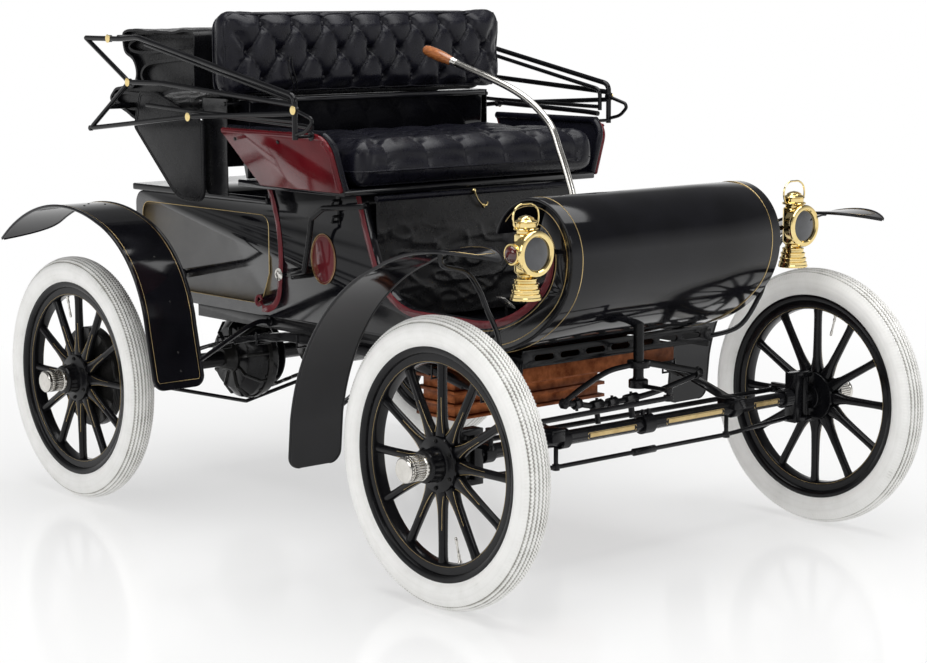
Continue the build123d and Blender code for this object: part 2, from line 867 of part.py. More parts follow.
cheek = dash_thickness + seat_gap
well_z = sill_top + well_radius
well_y = -well_front
rise = math.radians(90 - well_rise_angle)
well_top = (well_y + well_radius * math.cos(rise), well_z - well_radius * math.sin(rise))
with BuildPart() as side_panels:
    with BuildSketch(side_plane(body_half_width - panel_thickness)):
        with BuildLine():
            roll_arc(cheek, cheek_end_angle)
            toe_arcs(cheek)
            Line((-toe_y, toe_z - toe_radius + cheek), (-toe_y + seat_gap, toe_z - toe_radius + cheek))
            Polyline(
                (-toe_y + seat_gap, toe_z - toe_radius + cheek),
                (-toe_y + seat_gap, body_bottom),
                (body_rear, body_bottom),
                (body_rear, deck_top - deck_corner),
            )
            CenterArc((body_rear - deck_corner, deck_top - deck_corner), deck_corner, 0, 90)
            Polyline(
                (body_rear - deck_corner, deck_top),
                (deck_step_y, deck_top),
                (deck_step_y, seat_box_top),
                (-seat_front_y, seat_box_top),
            )
            TangentArc(well_top, (-seat_front_y, seat_box_top), tangent=(math.sin(rise), math.cos(rise)))
            CenterArc((well_y, well_z), well_radius, -90, well_rise_angle)
            Line((well_y, sill_top), (-toe_y, sill_top))
            roll_arc(sill_width, cheek_end_angle)
            toe_arcs(sill_width)
            Line(on_roll(cheek, cheek_end_angle), on_roll(sill_width, cheek_end_angle))
        make_face()
    extrude(amount=panel_thickness)
    mirror(about=Plane.YZ)
save(side_panels, "side_panels")

inner_half = body_half_width - panel_thickness - seat_gap
with BuildPart() as floor_board:
    bar(
        (-inner_half, -toe_y + seat_gap, body_bottom),
        (inner_half, floor_rear, body_bottom + floor_thickness),
    )
save(floor_board, "floor_board")

with BuildPart() as seat_front_board:
    board_z = body_bottom + floor_thickness + seat_gap
    bar(
        (-inner_half, -seat_front_y, board_z),
        (inner_half, -seat_front_y + seat_board_thickness, seat_box_top),
    )
save(seat_front_board, "seat_front_board")

with BuildPart() as seat_rear_board:
    bar(
        (-inner_half, deck_step_y - seat_board_thickness, deck_top - deck_corner),
        (inner_half, deck_step_y, seat_box_top),
    )
save(seat_rear_board, "seat_rear_board")

with BuildPart() as rear_panel:
    bar(
        (-inner_half, body_rear - panel_thickness, body_bottom),
        (inner_half, body_rear, deck_top - deck_corner),
    )
save(rear_panel, "rear_panel")

with BuildPart() as deck_lid:
    with BuildSketch(Plane.XY.offset(deck_top + turn_gap)):
        with Locations((0, (deck_step_y + turn_gap + lid_rear) / 2)):
            RectangleRounded(
                2 * (body_half_width + lid_overhang), lid_rear - deck_step_y - turn_gap, lid_overhang
            )
    extrude(amount=lid_thickness)
save(deck_lid, "deck_lid")

# Apron: a leather curtain that closes the seat box
with BuildPart() as apron:
    bar(
        (-inner_half, -apron_y, apron_bottom),
        (inner_half, -apron_y + apron_thickness, seat_box_top - seat_gap),
    )
    bar(
        (-inner_half, -apron_y + apron_thickness, seat_box_top - cross_bar_depth),
        (inner_half, -seat_front_y - seat_gap, seat_box_top - seat_gap),
    )
save(apron, "apron")

# Seat
with BuildPart() as seat_base:
    bar(
        (-seat_half_width, -side_front_y, seat_box_top + seat_gap),
        (seat_half_width, seat_rear, seat_box_top + seat_gap + seat_base_thickness),
    )
save(seat_base, "seat_base")

flare = math.radians(side_flare_angle)
seat_top_z = seat_box_top + seat_gap + seat_base_thickness
with BuildPart() as seat_sides:
    outward = (math.cos(flare), 0, -math.sin(flare))
    foot = (seat_half_width + seat_gap, 0, side_bottom_z)
    with BuildSketch(Plane(origin=foot, x_dir=(0, 1, 0), z_dir=outward)):
        with BuildLine():
            FilletPolyline(
                (-side_front_y, 0),
                (side_bottom_rear, 0),
                (side_top_rear, side_height),
                (-side_front_y, side_height),
                radius=(side_corner, side_corner, side_corner, side_front_corner),
                close=True,
            )
        make_face()
    extrude(amount=side_thickness)
    mirror(about=Plane.YZ)
save(seat_sides, "seat_sides")

with BuildPart() as seat_back_board:
    with BuildSketch(side_plane(-back_board_half_width)):
        with BuildLine():
            Polyline(
                (seat_rear - back_board_thickness, seat_top_z + seat_gap),
                (seat_rear, seat_top_z + seat_gap),
                (back_front + back_depth, back_bottom - seat_gap - back_board_thickness),
                (back_front + back_depth, back_bottom - seat_gap),
                (back_front, back_bottom - seat_gap),
                (back_front, back_bottom - seat_gap - back_board_thickness),
                (cushion_rear + seat_gap, back_bottom - seat_gap - back_board_thickness),
                close=True,
            )
        make_face()
    extrude(amount=2 * back_board_half_width)
save(seat_back_board, "seat_back_board")

with BuildPart() as seat_curtain:
    with BuildSketch(Plane.XY.offset(curtain_bottom)):
        with BuildLine() as wall:
            FilletPolyline(
                (-curtain_half_width, curtain_front),
                (-curtain_half_width, curtain_rear - curtain_thickness / 2),
                (curtain_half_width, curtain_rear - curtain_thickness / 2),
                (curtain_half_width, curtain_front),
                radius=curtain_corner,
            )
        trace(wall.line, line_width=curtain_thickness)
    extrude(amount=back_bottom - seat_gap - curtain_bottom)
    with BuildSketch(side_plane(-curtain_half_width - curtain_thickness)):
        with BuildLine():
            Polyline(
                (0, back_bottom),
                (curtain_rear, back_bottom),
                (curtain_rear, curtain_lid_clear),
                (curtain_rear - curtain_corner - curtain_thickness, curtain_bottom),
                (0, curtain_bottom),
                close=True,
            )
        make_face()
    extrude(amount=2 * (curtain_half_width + curtain_thickness), mode=Mode.INTERSECT)
save(seat_curtain, "seat_curtain")

with BuildPart() as seat_cushion:
    bar(
        (-cushion_half_width, -cushion_front, seat_top_z + seat_gap),
        (cushion_half_width, cushion_rear, cushion_top),
    )
    fillet(seat_cushion.edges().filter_by(Axis.X).group_by(Axis.Z)[-1], radius=cushion_corner)
save(seat_cushion, "seat_cushion")

with BuildPart() as back_cushion:
    bar((-back_half_width, back_front, back_bottom), (back_half_width, back_front + back_depth, back_top))
    fillet(back_cushion.edges().filter_by(Axis.X), radius=back_corner)
save(back_cushion, "back_cushion")

# Folded top: the leather, its side curtains and the irons
# Rows of shares: y of the top's rear reach, z of its irons' rise above the seat box
iron_rise = iron_top - seat_box_top
top_shares = (
    (0.490, 0.625), (0.490, 1.067), (0.892, 1.062), (0.909, 0.981), (0.894, 0.872),
    (0.843, 0.819), (0.827, 0.729), (0.854, 0.653), (0.954, 0.653), (0.990, 0.582),
    (0.977, 0.506), (0.886, 0.439), (0.822, 0.404), (0.683, 0.558),
)
bow_shares = ((0.811, 0.993), (0.873, 0.513))
bows = shared(bow_shares, top_rear, seat_box_top, iron_rise)
with BuildPart() as folded_top:
    with BuildSketch(side_plane(-top_half_width)):
        with BuildLine():
            FilletPolyline(
                *shared(top_shares, top_rear, seat_box_top, iron_rise), radius=top_bend, close=True
            )
        make_face()
    extrude(amount=2 * top_half_width)
    for bow in bows:
        with BuildSketch(side_plane(-top_half_width)):
            with Locations(bow):
                Circle(bow_radius + seat_gap)
        extrude(amount=2 * top_half_width, mode=Mode.SUBTRACT)
save(folded_top, "folded_top")

flap_shares = (
    (0.694, 0.618), (0.795, 0.618), (0.831, 0.368), (0.590, -0.119), (0.442, -0.119), (0.442, 0.430),
)
with BuildPart() as top_flaps:
    with BuildSketch(side_plane(top_half_width + seat_gap)):
        with BuildLine():
            FilletPolyline(
                *shared(flap_shares, top_rear, seat_box_top, iron_rise),
                radius=(top_bend, top_bend, top_bend, flap_corner, flap_corner, top_bend),
                close=True,
            )
        make_face()
    extrude(amount=flap_thickness)
    mirror(about=Plane.YZ)
save(top_flaps, "top_flaps")

with BuildPart() as top_irons:
    # Rows of shares as above: the corners of each flat iron
    iron_runs = (
        ((-0.112, 0.373), (-0.112, 0.648), (0.700, 1.0), (0.802, 0.986), (1.0, 0.988)),
        ((1.0, 0.988), (0.752, 0.689), (0.986, 0.349), (0.420, 0.475), (-0.112, 0.539)),
        ((-0.112, 0.591), (0.572, 0.691), (0.752, 0.689)),
        ((-0.112, 0.560), (-0.193, 0.506), (-0.160, 0.425), (-0.112, 0.404)),
    )
    knob_shares = ((-0.112, 0.560), (0.420, 0.475), (0.752, 0.689), (0.860, 0.987))
    with BuildSketch(side_plane(iron_x - iron_thickness / 2)):
        for run_shares in iron_runs:
            corners = shared(run_shares, top_rear, seat_box_top, iron_rise)
            with BuildLine() as run:
                Polyline(*corners)
            trace(run.line, line_width=iron_width)
            with Locations(*corners):
                Circle(iron_width / 2)
    extrude(amount=iron_thickness)
    for y, z in shared(knob_shares, top_rear, seat_box_top, iron_rise):
        pin((iron_x - knob_length / 2, y, z), (1, 0, 0), knob_radius, knob_length)
    foot_y = shared(knob_shares, top_rear, seat_box_top, iron_rise)[0][0]
    pin((iron_foot_x, foot_y, iron_foot_z), (1, 0, 0), iron_foot_radius, iron_x - iron_foot_x)
    mirror(about=Plane.YZ)
    for y, z in bows:
        pin((-iron_x, y, z), (1, 0, 0), bow_radius, 2 * iron_x)
save(top_irons, "top_irons")


# Fenders
def fender(shares, wheel_y, tip_x, stays):
    """A pair of bent steel leaves over one axle's wheels, with beaded edges."""
    places = [
        (wheel_y + share_y * wheel_radius, hub_z + share_z * wheel_radius) for share_y, share_z in shares
    ]
    with BuildPart() as block:
        for start, width, thickness in (
            (fender_inner_x, fender_width, fender_thickness),
            (fender_inner_x, fender_bead, fender_bead),
            (fender_inner_x + fender_width - fender_bead, fender_bead, fender_bead),
        ):
            with BuildSketch(side_plane(start)):
                with BuildLine() as route:
                    Line(places[0], places[1])
                    ThreePointArc(places[1], places[2], places[3])
                    ThreePointArc(places[3], places[4], places[5])
                trace(route.line, line_width=thickness)
            extrude(amount=width)
        tip_y = wheel_y + shares[-1][0] * wheel_radius
        way = math.copysign(1, shares[-1][0])
        with BuildSketch(Plane.XY):
            with BuildLine():
                near = fender_inner_x
                far = fender_inner_x + fender_width
                root_y = tip_y - way * leaf_length
                Polyline((near, root_y), (near, -way * body_rear), (far, -way * body_rear), (far, root_y))
                for edge in (near, far):
                    waist = (edge + (tip_x - edge) * leaf_draw, tip_y - way * leaf_waist)
                    ThreePointArc((edge, root_y), waist, (tip_x, tip_y))
            make_face()
        extrude(amount=body_rear, mode=Mode.INTERSECT)
        with BuildSketch(Plane.XZ) as face_on:
            with Locations(((near + far) / 2, places[0][1] + body_rear / 2)):
                RectangleRounded(fender_width, body_rear, fender_corner)
        extrude(face_on.sketch, amount=2 * body_rear, both=True, mode=Mode.INTERSECT)
        for foot_x, stay_shares in stays:
            room = fender_inner_x - foot_x
            route = [
                (foot_x + across * room, wheel_y + share_y * wheel_radius, hub_z + share_z * wheel_radius)
                for across, share_y, share_z in stay_shares
            ]
            rod(
                (Vector(*route[0]) + Vector(stay_foot_thickness / 2, 0, 0), *route[1:]),
                stay_radius,
                stay_bend,
            )
            pin(route[0], (1, 0, 0), stay_foot_radius, stay_foot_thickness)
        mirror(about=Plane.YZ)
    return block


# Rows: where a stay's foot stands, then its corners as shares: x of the way from the foot to the
# fender's inner edge, y and z of the wheel radius from the axle
rail_foot = rail_outer_x + seat_gap
panel_foot = body_half_width + seat_gap
front_stays = (
    (
        rail_foot,
        (
            (0.000, 0.324, 0.516), (0.332, 0.187, 0.593), (0.509, 0.104, 0.810), (0.633, 0.104, 0.978),
            (0.730, 0.104, 1.121), (0.888, 0.104, 1.253), (1.160, 0.104, 1.310), (1.203, 0.104, 1.405),
        ),
    ),
    (rail_foot, ((0.000, 1.354, 0.516), (0.258, 1.354, 0.505), (1.030, 1.365, 0.181))),
)
rear_stays = (
    (rail_foot, ((0.000, -1.354, 0.516), (0.258, -1.354, 0.505), (1.030, -1.445, 0.291))),
    (panel_foot, ((0.000, -0.269, 0.813), (0.751, -0.255, 1.253), (1.034, -0.255, 1.429))),
)


save(fender(front_fender_shares, -axle_y, front_tip_x, front_stays), "front_fenders")
save(fender(rear_fender_shares, axle_y, rear_tip_x, rear_stays), "rear_fenders")

# Lamps
# Rows: radius as a share of the lamp's body, height as a share of the lamp's
lamp_shares = (
    (1.33, 0), (1.33, 0.035), (1.17, 0.075), (1.17, 0.105), (1.21, 0.110), (1.21, 0.125), (1.08, 0.137),
    (1.06, 0.170), (1.11, 0.175), (1.11, 0.190), (0.97, 0.202), (0.94, 0.230), (0.99, 0.237), (0.99, 0.251),
    (0.75, 0.265), (0.75, 0.298), (1, 0.346), (1, 0.760), (0.80, 0.790), (0.78, 0.813), (1.08, 0.836),
    (0.87, 0.860), (0.86, 0.904), (0.97, 0.914), (0.97, 0.928), (0.68, 0.950), (0.37, 0.988), (0, 1),
)
with BuildPart() as lamps:
    with BuildSketch(Plane.XZ.offset(lamp_y)):
        with BuildLine():
            Polyline(
                (lamp_x, lamp_base_z),
                *[
                    (lamp_x + share_r * lamp_body_radius, lamp_base_z + share_z * lamp_height)
                    for share_r, share_z in lamp_shares
                ],
                close=True,
            )
        make_face()
    revolve(axis=Axis((lamp_x, -lamp_y, 0), (0, 0, 1)))
    pin((lamp_x, -lamp_y, lens_z), (0, -1, 0), lens_radius - lens_rim_width, lens_front - lamp_y)
    pin((lamp_x, -lens_front, lens_z), (0, 1, 0), lens_radius, lens_rim_depth)
    with BuildSketch(Plane(origin=(lamp_x, -lamp_y, lens_z), z_dir=(1, 0, 0))):
        Circle(jewel_radius)
    with BuildSketch(Plane(origin=(lamp_x + jewel_reach, -lamp_y, lens_z), z_dir=(1, 0, 0))):
        Circle(2 * jewel_radius / 3)
    loft()
    bail_knee = (bail_top + bail_foot) / 2
    half = bail_half_width
    rod(
        [
            (lamp_x + across * half, -lamp_y, z)
            for across, z in (
                (-2 / 3, bail_foot), (-1, bail_knee), (-2 / 3, bail_top),
                (2 / 3, bail_top), (1, bail_knee), (2 / 3, bail_foot),
            )
        ],
        bail_radius,
        bail_bend,
    )
    lug_y = -lamp_y + lamp_lug_back
    bar(
        (lamp_x - lamp_body_radius - lamp_lug, lug_y, lamp_base_z + lamp_bracket_rise),
        (lamp_x - lamp_lug, lug_y + lamp_bracket_width, lamp_base_z + lamp_bracket_rise + lamp_bracket_height),
    )
    mirror(about=Plane.YZ)
save(lamps, "lamps")

with BuildPart() as lamp_brackets:
    bracket_z = lamp_base_z + lamp_bracket_rise
    bar(
        (body_half_width + seat_gap, lug_y, bracket_z),
        (lamp_x - lamp_body_radius - lamp_lug - seat_gap, lug_y + lamp_bracket_width, bracket_z + lamp_bracket_height),
    )
    mirror(about=Plane.YZ)
save(lamp_brackets, "lamp_brackets")

# Mouldings: raised burgundy bands and an oval on each body side
# Shares of the seat box: y of its rear end, z of its height above the body's bottom
rear_band_shares = ((0.973, 0.982), (0.810, 0.567), (0.827, 0.257), (0.913, 0.100), (1.120, 0.058))
oval_share = (0.130, 0.499)
with BuildPart() as mouldings:
    with BuildSketch(side_plane(body_half_width + seat_gap)):
        with BuildLine():
            edge_ends = []
            for inset in (sill_width, sill_width - moulding_width):
                roll_arc(inset, moulding_end_angle)
                toe_arcs(inset)
                reach = well_radius + sill_width - inset
                turn = (well_y + reach * math.cos(rise), well_z - reach * math.sin(rise))
                end = (-seat_front_y + sill_width - inset, seat_box_top)
                Line((-toe_y, sill_top - sill_width + inset), (well_y, sill_top - sill_width + inset))
                CenterArc((well_y, well_z), reach, -90, well_rise_angle)
                TangentArc(turn, end, tangent=(math.sin(rise), math.cos(rise)))
            Line(
                on_roll(sill_width, moulding_end_angle),
                on_roll(sill_width - moulding_width, moulding_end_angle),
            )
            Line((-seat_front_y, seat_box_top), (-seat_front_y + moulding_width, seat_box_top))
        make_face()
        with BuildLine() as rear_band:
            bead = shared(rear_band_shares, deck_step_y, body_bottom, seat_box_top - body_bottom)
            ThreePointArc(*bead[0:3])
            ThreePointArc(*bead[2:5])
        trace(rear_band.line, line_width=moulding_width)
        with Locations(shared((oval_share,), deck_step_y, body_bottom, seat_box_top - body_bottom)[0]):
            Ellipse(oval_width / 2, oval_height / 2)
    extrude(amount=moulding_thickness)
    mirror(about=Plane.YZ)
save(mouldings, "mouldings")

# Starting crank, strapped up along the right side
# Rows of shares of the seat box, from the crank's pivot to its grip
crank_shares = (
    (0.343, 0.388), (0.150, 0.423), (0.080, 0.622), (0.027, 0.816), (-0.150, 0.898), (-0.760, 0.945),
)
with BuildPart() as starting_crank:
    pivot, *corners = shared(crank_shares, deck_step_y, body_bottom, seat_box_top - body_bottom)
    hub_x = -body_half_width - seat_gap
    pin((hub_x, *pivot), (-1, 0, 0), 2 * crank_radius, crank_x - body_half_width)
    rod(((-crank_x, *pivot), *[(-crank_x, y, z) for y, z in corners]), crank_radius, crank_bend)
save(starting_crank, "starting_crank")

print("sizes in mm: length", 2 * (axle_y + wheel_radius), "hub width", 2 * (wheel_x + cap_out))
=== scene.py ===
"""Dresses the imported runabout: white tyres, black lacquer, burgundy panels, tufted leather and brass."""
import bmesh
import bpy
import json
import math
import numpy as np
from mathutils import Matrix, Vector, noise

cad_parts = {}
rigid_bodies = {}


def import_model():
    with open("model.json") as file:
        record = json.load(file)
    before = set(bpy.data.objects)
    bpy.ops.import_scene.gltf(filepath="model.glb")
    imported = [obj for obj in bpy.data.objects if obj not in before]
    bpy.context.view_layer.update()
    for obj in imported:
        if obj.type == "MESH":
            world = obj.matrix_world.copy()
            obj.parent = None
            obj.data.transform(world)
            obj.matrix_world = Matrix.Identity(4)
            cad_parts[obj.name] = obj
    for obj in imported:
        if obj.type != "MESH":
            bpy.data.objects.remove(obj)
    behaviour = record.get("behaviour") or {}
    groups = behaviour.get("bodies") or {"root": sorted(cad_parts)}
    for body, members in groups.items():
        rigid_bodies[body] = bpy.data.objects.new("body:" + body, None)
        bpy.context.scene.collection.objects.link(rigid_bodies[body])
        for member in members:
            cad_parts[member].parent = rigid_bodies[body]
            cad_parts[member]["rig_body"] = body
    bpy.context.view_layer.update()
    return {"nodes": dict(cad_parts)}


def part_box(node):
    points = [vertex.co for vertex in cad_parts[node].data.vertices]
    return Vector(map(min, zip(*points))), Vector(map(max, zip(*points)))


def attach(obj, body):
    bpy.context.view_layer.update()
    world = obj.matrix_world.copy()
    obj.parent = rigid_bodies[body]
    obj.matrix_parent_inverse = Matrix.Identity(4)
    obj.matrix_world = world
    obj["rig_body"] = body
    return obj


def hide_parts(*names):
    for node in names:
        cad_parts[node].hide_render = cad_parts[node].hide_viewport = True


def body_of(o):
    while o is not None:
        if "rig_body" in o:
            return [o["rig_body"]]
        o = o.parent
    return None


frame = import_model()

# Sizes shared with the solids, in metres
AXLE_Y = 0.838
WHEEL_X = 0.6985
HUB_Z = 0.364
BODY_HALF = 0.385
ACROSS, ALONG, UP = (1, 0, 0), (0, 1, 0), (0, 0, 1)

# The photograph's camera
PHOTO_WIDTH = 927
CAMERA_PLACE = (-4.1045, -4.8451, 1.4800)
CAMERA_YAW = 0.7143
CAMERA_PITCH = 0.1494
CAMERA_ROLL = -0.0038
CAMERA_FOCAL_PIXELS = 2203.8
SENSOR_WIDTH = 36.0


# Node helpers for materials
class Finish:
    """A node tree being wired for one material."""

    def __init__(self, name):
        self.material = bpy.data.materials.new(name)
        self.material.use_nodes = True
        self.tree = self.material.node_tree
        self.shader = self.tree.nodes["Principled BSDF"]
        self.place = self.node("ShaderNodeTexCoord").outputs["Object"]

    def node(self, kind, **settings):
        """A new node with its settings."""
        made = self.tree.nodes.new(kind)
        for key, value in settings.items():
            setattr(made, key, value)
        return made

    def link(self, source, target):
        self.tree.links.new(source, target)

    def set(self, **sockets):
        """Set the shader's sockets by name, with _ for each space."""
        for key, value in sockets.items():
            self.shader.inputs[key.replace("_", " ")].default_value = value

    def noise(self, scale, detail=4.0, rough=0.55, stretch=None, distortion=0.0):
        """A noise value over the piece's own coordinates, stretched along its axes if asked."""
        texture = self.node("ShaderNodeTexNoise")
        texture.inputs["Scale"].default_value = scale
        texture.inputs["Detail"].default_value = detail
        texture.inputs["Roughness"].default_value = rough
        texture.inputs["Distortion"].default_value = distortion
        source = self.place
        if stretch:
            mapping = self.node("ShaderNodeMapping")
            mapping.inputs["Scale"].default_value = stretch
            self.link(source, mapping.inputs["Vector"])
            source = mapping.outputs["Vector"]
        self.link(source, texture.inputs["Vector"])
        return texture.outputs["Fac"]

    def cells(self, scale):
        """A cell pattern's distance over the piece's own coordinates."""
        texture = self.node("ShaderNodeTexVoronoi")
        texture.inputs["Scale"].default_value = scale
        self.link(self.place, texture.inputs["Vector"])
        return texture.outputs["Distance"]

    def remap(self, value, low, high, start=0.0, end=1.0):
        """A value that runs from start to end, mapped onto low to high."""
        spread = self.node("ShaderNodeMapRange")
        spread.inputs["From Min"].default_value = start
        spread.inputs["From Max"].default_value = end
        spread.inputs["To Min"].default_value = low
        spread.inputs["To Max"].default_value = high
        self.link(value, spread.inputs["Value"])
        return spread.outputs["Result"]

    def colours(self, value, *stops):
        """Paint a value with colour stops, each (position, (r, g, b))."""
        node = self.node("ShaderNodeValToRGB")
        ramp = node.color_ramp
        for place, colour in stops[2:]:
            ramp.elements.new(place)
        for element, (place, colour) in zip(ramp.elements, sorted(stops)):
            element.position = place
            element.color = (*colour, 1.0)
        self.link(value, node.inputs["Fac"])
        self.link(node.outputs["Color"], self.shader.inputs["Base Color"])

    def bump(self, *layers):
        """Stack bump layers, each (height, strength, distance in metres)."""
        normal = None
        for height, strength, distance in layers:
            made = self.node("ShaderNodeBump")
            made.inputs["Strength"].default_value = strength
            made.inputs["Distance"].default_value = distance
            self.link(height, made.inputs["Height"])
            if normal:
                self.link(normal, made.inputs["Normal"])
            normal = made.outputs["Normal"]
        self.link(normal, self.shader.inputs["Normal"])

    def roughen(self, value, low, high):
        """Let the shader's roughness follow a noise value between low and high."""
        self.link(self.remap(value, low, high, 0.3, 0.7), self.shader.inputs["Roughness"])


def lacquer(name, dark, light, rough=0.05, gloss=0.33):
    """Deep coach lacquer: faint colour mottling, a trace of orange peel and dust in the gloss."""
    paint = Finish(name)
    paint.set(IOR=1.5, Specular_IOR_Level=gloss)
    paint.colours(paint.noise(9.0, 6.0), (0.35, dark), (0.7, light))
    paint.roughen(paint.noise(3.2, 8.0, 0.7), rough, rough + 0.09)
    paint.bump((paint.noise(220.0, 2.0), 0.02, 0.0006))
    return paint.material


def enamel(name, dark, light):
    """Brushed chassis enamel, thinner and less even than the body's lacquer."""
    paint = Finish(name)
    paint.set(Specular_IOR_Level=0.22)
    paint.colours(paint.noise(24.0, 6.0), (0.35, dark), (0.75, light))
    paint.roughen(paint.noise(30.0, 6.0, 0.7), 0.12, 0.26)
    paint.bump((paint.noise(120.0, 4.0), 0.12, 0.0008))
    return paint.material


def hide(name, dark, light, grain=420.0, rough=0.30, bump=0.35, gloss=0.30):
    """Glazed leather: pebbled grain over broad soft creasing, its colour a little uneven."""
    skin = Finish(name)
    skin.set(Specular_IOR_Level=gloss)
    skin.colours(skin.noise(14.0, 7.0, 0.6), (0.3, dark), (0.75, light))
    pebbles = skin.cells(grain)
    skin.roughen(skin.noise(26.0, 6.0, 0.65), rough - 0.07, rough + 0.12)
    skin.bump(
        (skin.noise(38.0, 5.0, 0.6, distortion=0.6), bump * 0.5, 0.0020),
        (pebbles, bump, 0.0006),
        (skin.noise(grain * 2.2, 2.0), bump * 0.3, 0.0003),
    )
    return skin.material


def metal(name, dark, light, rough_low, rough_high):
    """Polished metal with faint stains in colour and gloss."""
    plate = Finish(name)
    plate.set(Metallic=1.0)
    plate.colours(plate.noise(32.0, 6.0, 0.6), (0.3, dark), (0.72, light))
    plate.roughen(plate.noise(55.0, 6.0, 0.65), rough_low, rough_high)
    plate.bump((plate.noise(260.0, 3.0), 0.05, 0.0004))
    return plate.material


def rubber(name, dark, light):
    """White rubber, a little chalky, with handling marks and painted shade in its grooves."""
    gum = Finish(name)
    gum.set(Specular_IOR_Level=0.35)
    # Painted shade darkens the tread's grooves, the shoulder's dips and the wall rings, which the mesh marks
    marks = gum.node("ShaderNodeAttribute", attribute_name="groove")
    mottle = gum.remap(gum.noise(16.0, 8.0, 0.65), 0.55, 1.0, 0.3, 0.62)
    shaded_mottle = gum.node("ShaderNodeMath", operation="SUBTRACT")
    gum.link(mottle, shaded_mottle.inputs[0])
    gum.link(marks.outputs["Fac"], shaded_mottle.inputs[1])
    # The lowest colour stop is the painted groove shade's dark grey
    gum.colours(shaded_mottle.outputs["Value"], (0.0, (0.30, 0.29, 0.26)), (0.55, dark), (0.95, light))
    gum.roughen(gum.noise(60.0, 5.0), 0.48, 0.62)
    gum.bump((gum.noise(340.0, 3.0), 0.10, 0.0005), (gum.noise(30.0, 4.0), 0.06, 0.0012))
    return gum.material


def grip_wood(name):
    """Varnished turned wood with grain along its length."""
    wood = Finish(name)
    wood.set(Coat_Weight=0.8, Coat_Roughness=0.06)
    grain = wood.noise(60.0, 8.0, 0.6, stretch=(6.0, 0.7, 6.0), distortion=0.8)
    wood.colours(grain, (0.3, (0.16, 0.045, 0.012)), (0.55, (0.36, 0.12, 0.035)), (0.78, (0.52, 0.21, 0.07)))
    wood.roughen(wood.noise(90.0, 4.0), 0.18, 0.3)
    wood.bump((grain, 0.08, 0.0006))
    return wood.material


def lens_glass(name, dark, light):
    """Thick lamp glass with the dark of the lamp behind it."""
    glass = Finish(name)
    glass.set(IOR=1.5, Coat_Weight=1.0, Coat_Roughness=0.02)
    glass.colours(glass.noise(40.0, 3.0), (0.35, dark), (0.7, light))
    glass.roughen(glass.noise(80.0, 3.0), 0.03, 0.07)
    glass.bump((glass.noise(60.0, 2.0), 0.03, 0.001))
    return glass.material


BLACK = lacquer("black_lacquer", (0.003, 0.003, 0.004), (0.006, 0.006, 0.008))
BURGUNDY = lacquer("burgundy_lacquer", (0.085, 0.004, 0.007), (0.125, 0.008, 0.012), rough=0.07, gloss=0.24)
CHERRY = lacquer("moulding_burgundy", (0.095, 0.010, 0.015), (0.140, 0.018, 0.023), rough=0.12, gloss=0.26)
ENAMEL = enamel("chassis_enamel", (0.003, 0.003, 0.004), (0.009, 0.009, 0.010))
WHEEL_BLACK = enamel("wheel_enamel", (0.003, 0.003, 0.004), (0.007, 0.007, 0.008))
IRON_BAR = lacquer("top_iron_enamel", (0.003, 0.003, 0.004), (0.007, 0.007, 0.008), rough=0.07, gloss=0.26)
IRON = enamel("cast_iron_black", (0.008, 0.008, 0.008), (0.022, 0.021, 0.020))
GILT = metal("gilt_line", (0.50, 0.36, 0.16), (0.68, 0.52, 0.26), 0.3, 0.42)
BRASS = metal("polished_brass", (0.80, 0.60, 0.24), (0.93, 0.76, 0.38), 0.07, 0.16)
NICKEL = metal("polished_nickel", (0.60, 0.58, 0.54), (0.74, 0.72, 0.68), 0.1, 0.22)
COPPER = metal("aged_copper", (0.10, 0.026, 0.010), (0.34, 0.115, 0.045), 0.34, 0.55)
WHITE_RUBBER = rubber("white_rubber", (0.83, 0.825, 0.80), (0.90, 0.895, 0.875))
SEAT_HIDE = hide("seat_leather", (0.003, 0.003, 0.006), (0.008, 0.008, 0.013), rough=0.26, gloss=0.24)
TOP_HIDE = hide(
    "top_leather", (0.003, 0.003, 0.004), (0.008, 0.008, 0.009),
    grain=620.0, rough=0.24, bump=0.22, gloss=0.20,
)
APRON_HIDE = hide(
    "apron_leather_finish", (0.005, 0.005, 0.006), (0.014, 0.014, 0.015),
    grain=520.0, rough=0.26, bump=0.5, gloss=0.40,
)
CURTAIN = hide(
    "curtain_leather", (0.003, 0.003, 0.004), (0.007, 0.007, 0.008),
    grain=700.0, rough=0.20, bump=0.16, gloss=0.42,
)
GRIP = grip_wood("grip_wood")
LENS = lens_glass("lens_glass", (0.012, 0.013, 0.016), (0.03, 0.032, 0.038))
RED_LENS = lens_glass("red_lens", (0.030, 0.002, 0.003), (0.09, 0.006, 0.006))


# Mesh helpers
def new_piece(name, points, faces, material, angle=35.0):
    """A closed mesh piece with outward faces, smooth but for edges sharper than angle degrees."""
    mesh = bpy.data.meshes.new(name)
    mesh.from_pydata([tuple(p) for p in points], [], faces)
    obj = bpy.data.objects.new(name, mesh)
    bpy.context.scene.collection.objects.link(obj)
    tidy_mesh(mesh)
    dress(obj, material, angle)
    return obj


def tidy_mesh(mesh, weld=1e-6, flatten=None):
    """Weld doubled points, join flat faces if asked, and turn every face outwards."""
    shape = bmesh.new()
    shape.from_mesh(mesh)
    bmesh.ops.remove_doubles(shape, verts=shape.verts, dist=weld)
    if flatten:
        limit = math.radians(flatten)
        bmesh.ops.dissolve_limit(shape, angle_limit=limit, verts=shape.verts, edges=shape.edges)
    bmesh.ops.recalc_face_normals(shape, faces=shape.faces)
    shape.to_mesh(mesh)
    shape.free()


def dress(obj, material, angle=35.0):
    """Give a piece its one material and its smooth shading."""
    obj.data.materials.clear()
    obj.data.materials.append(material)
    obj.data.polygons.foreach_set("use_smooth", [True] * len(obj.data.polygons))
    obj.data.set_sharp_from_angle(angle=math.radians(angle))


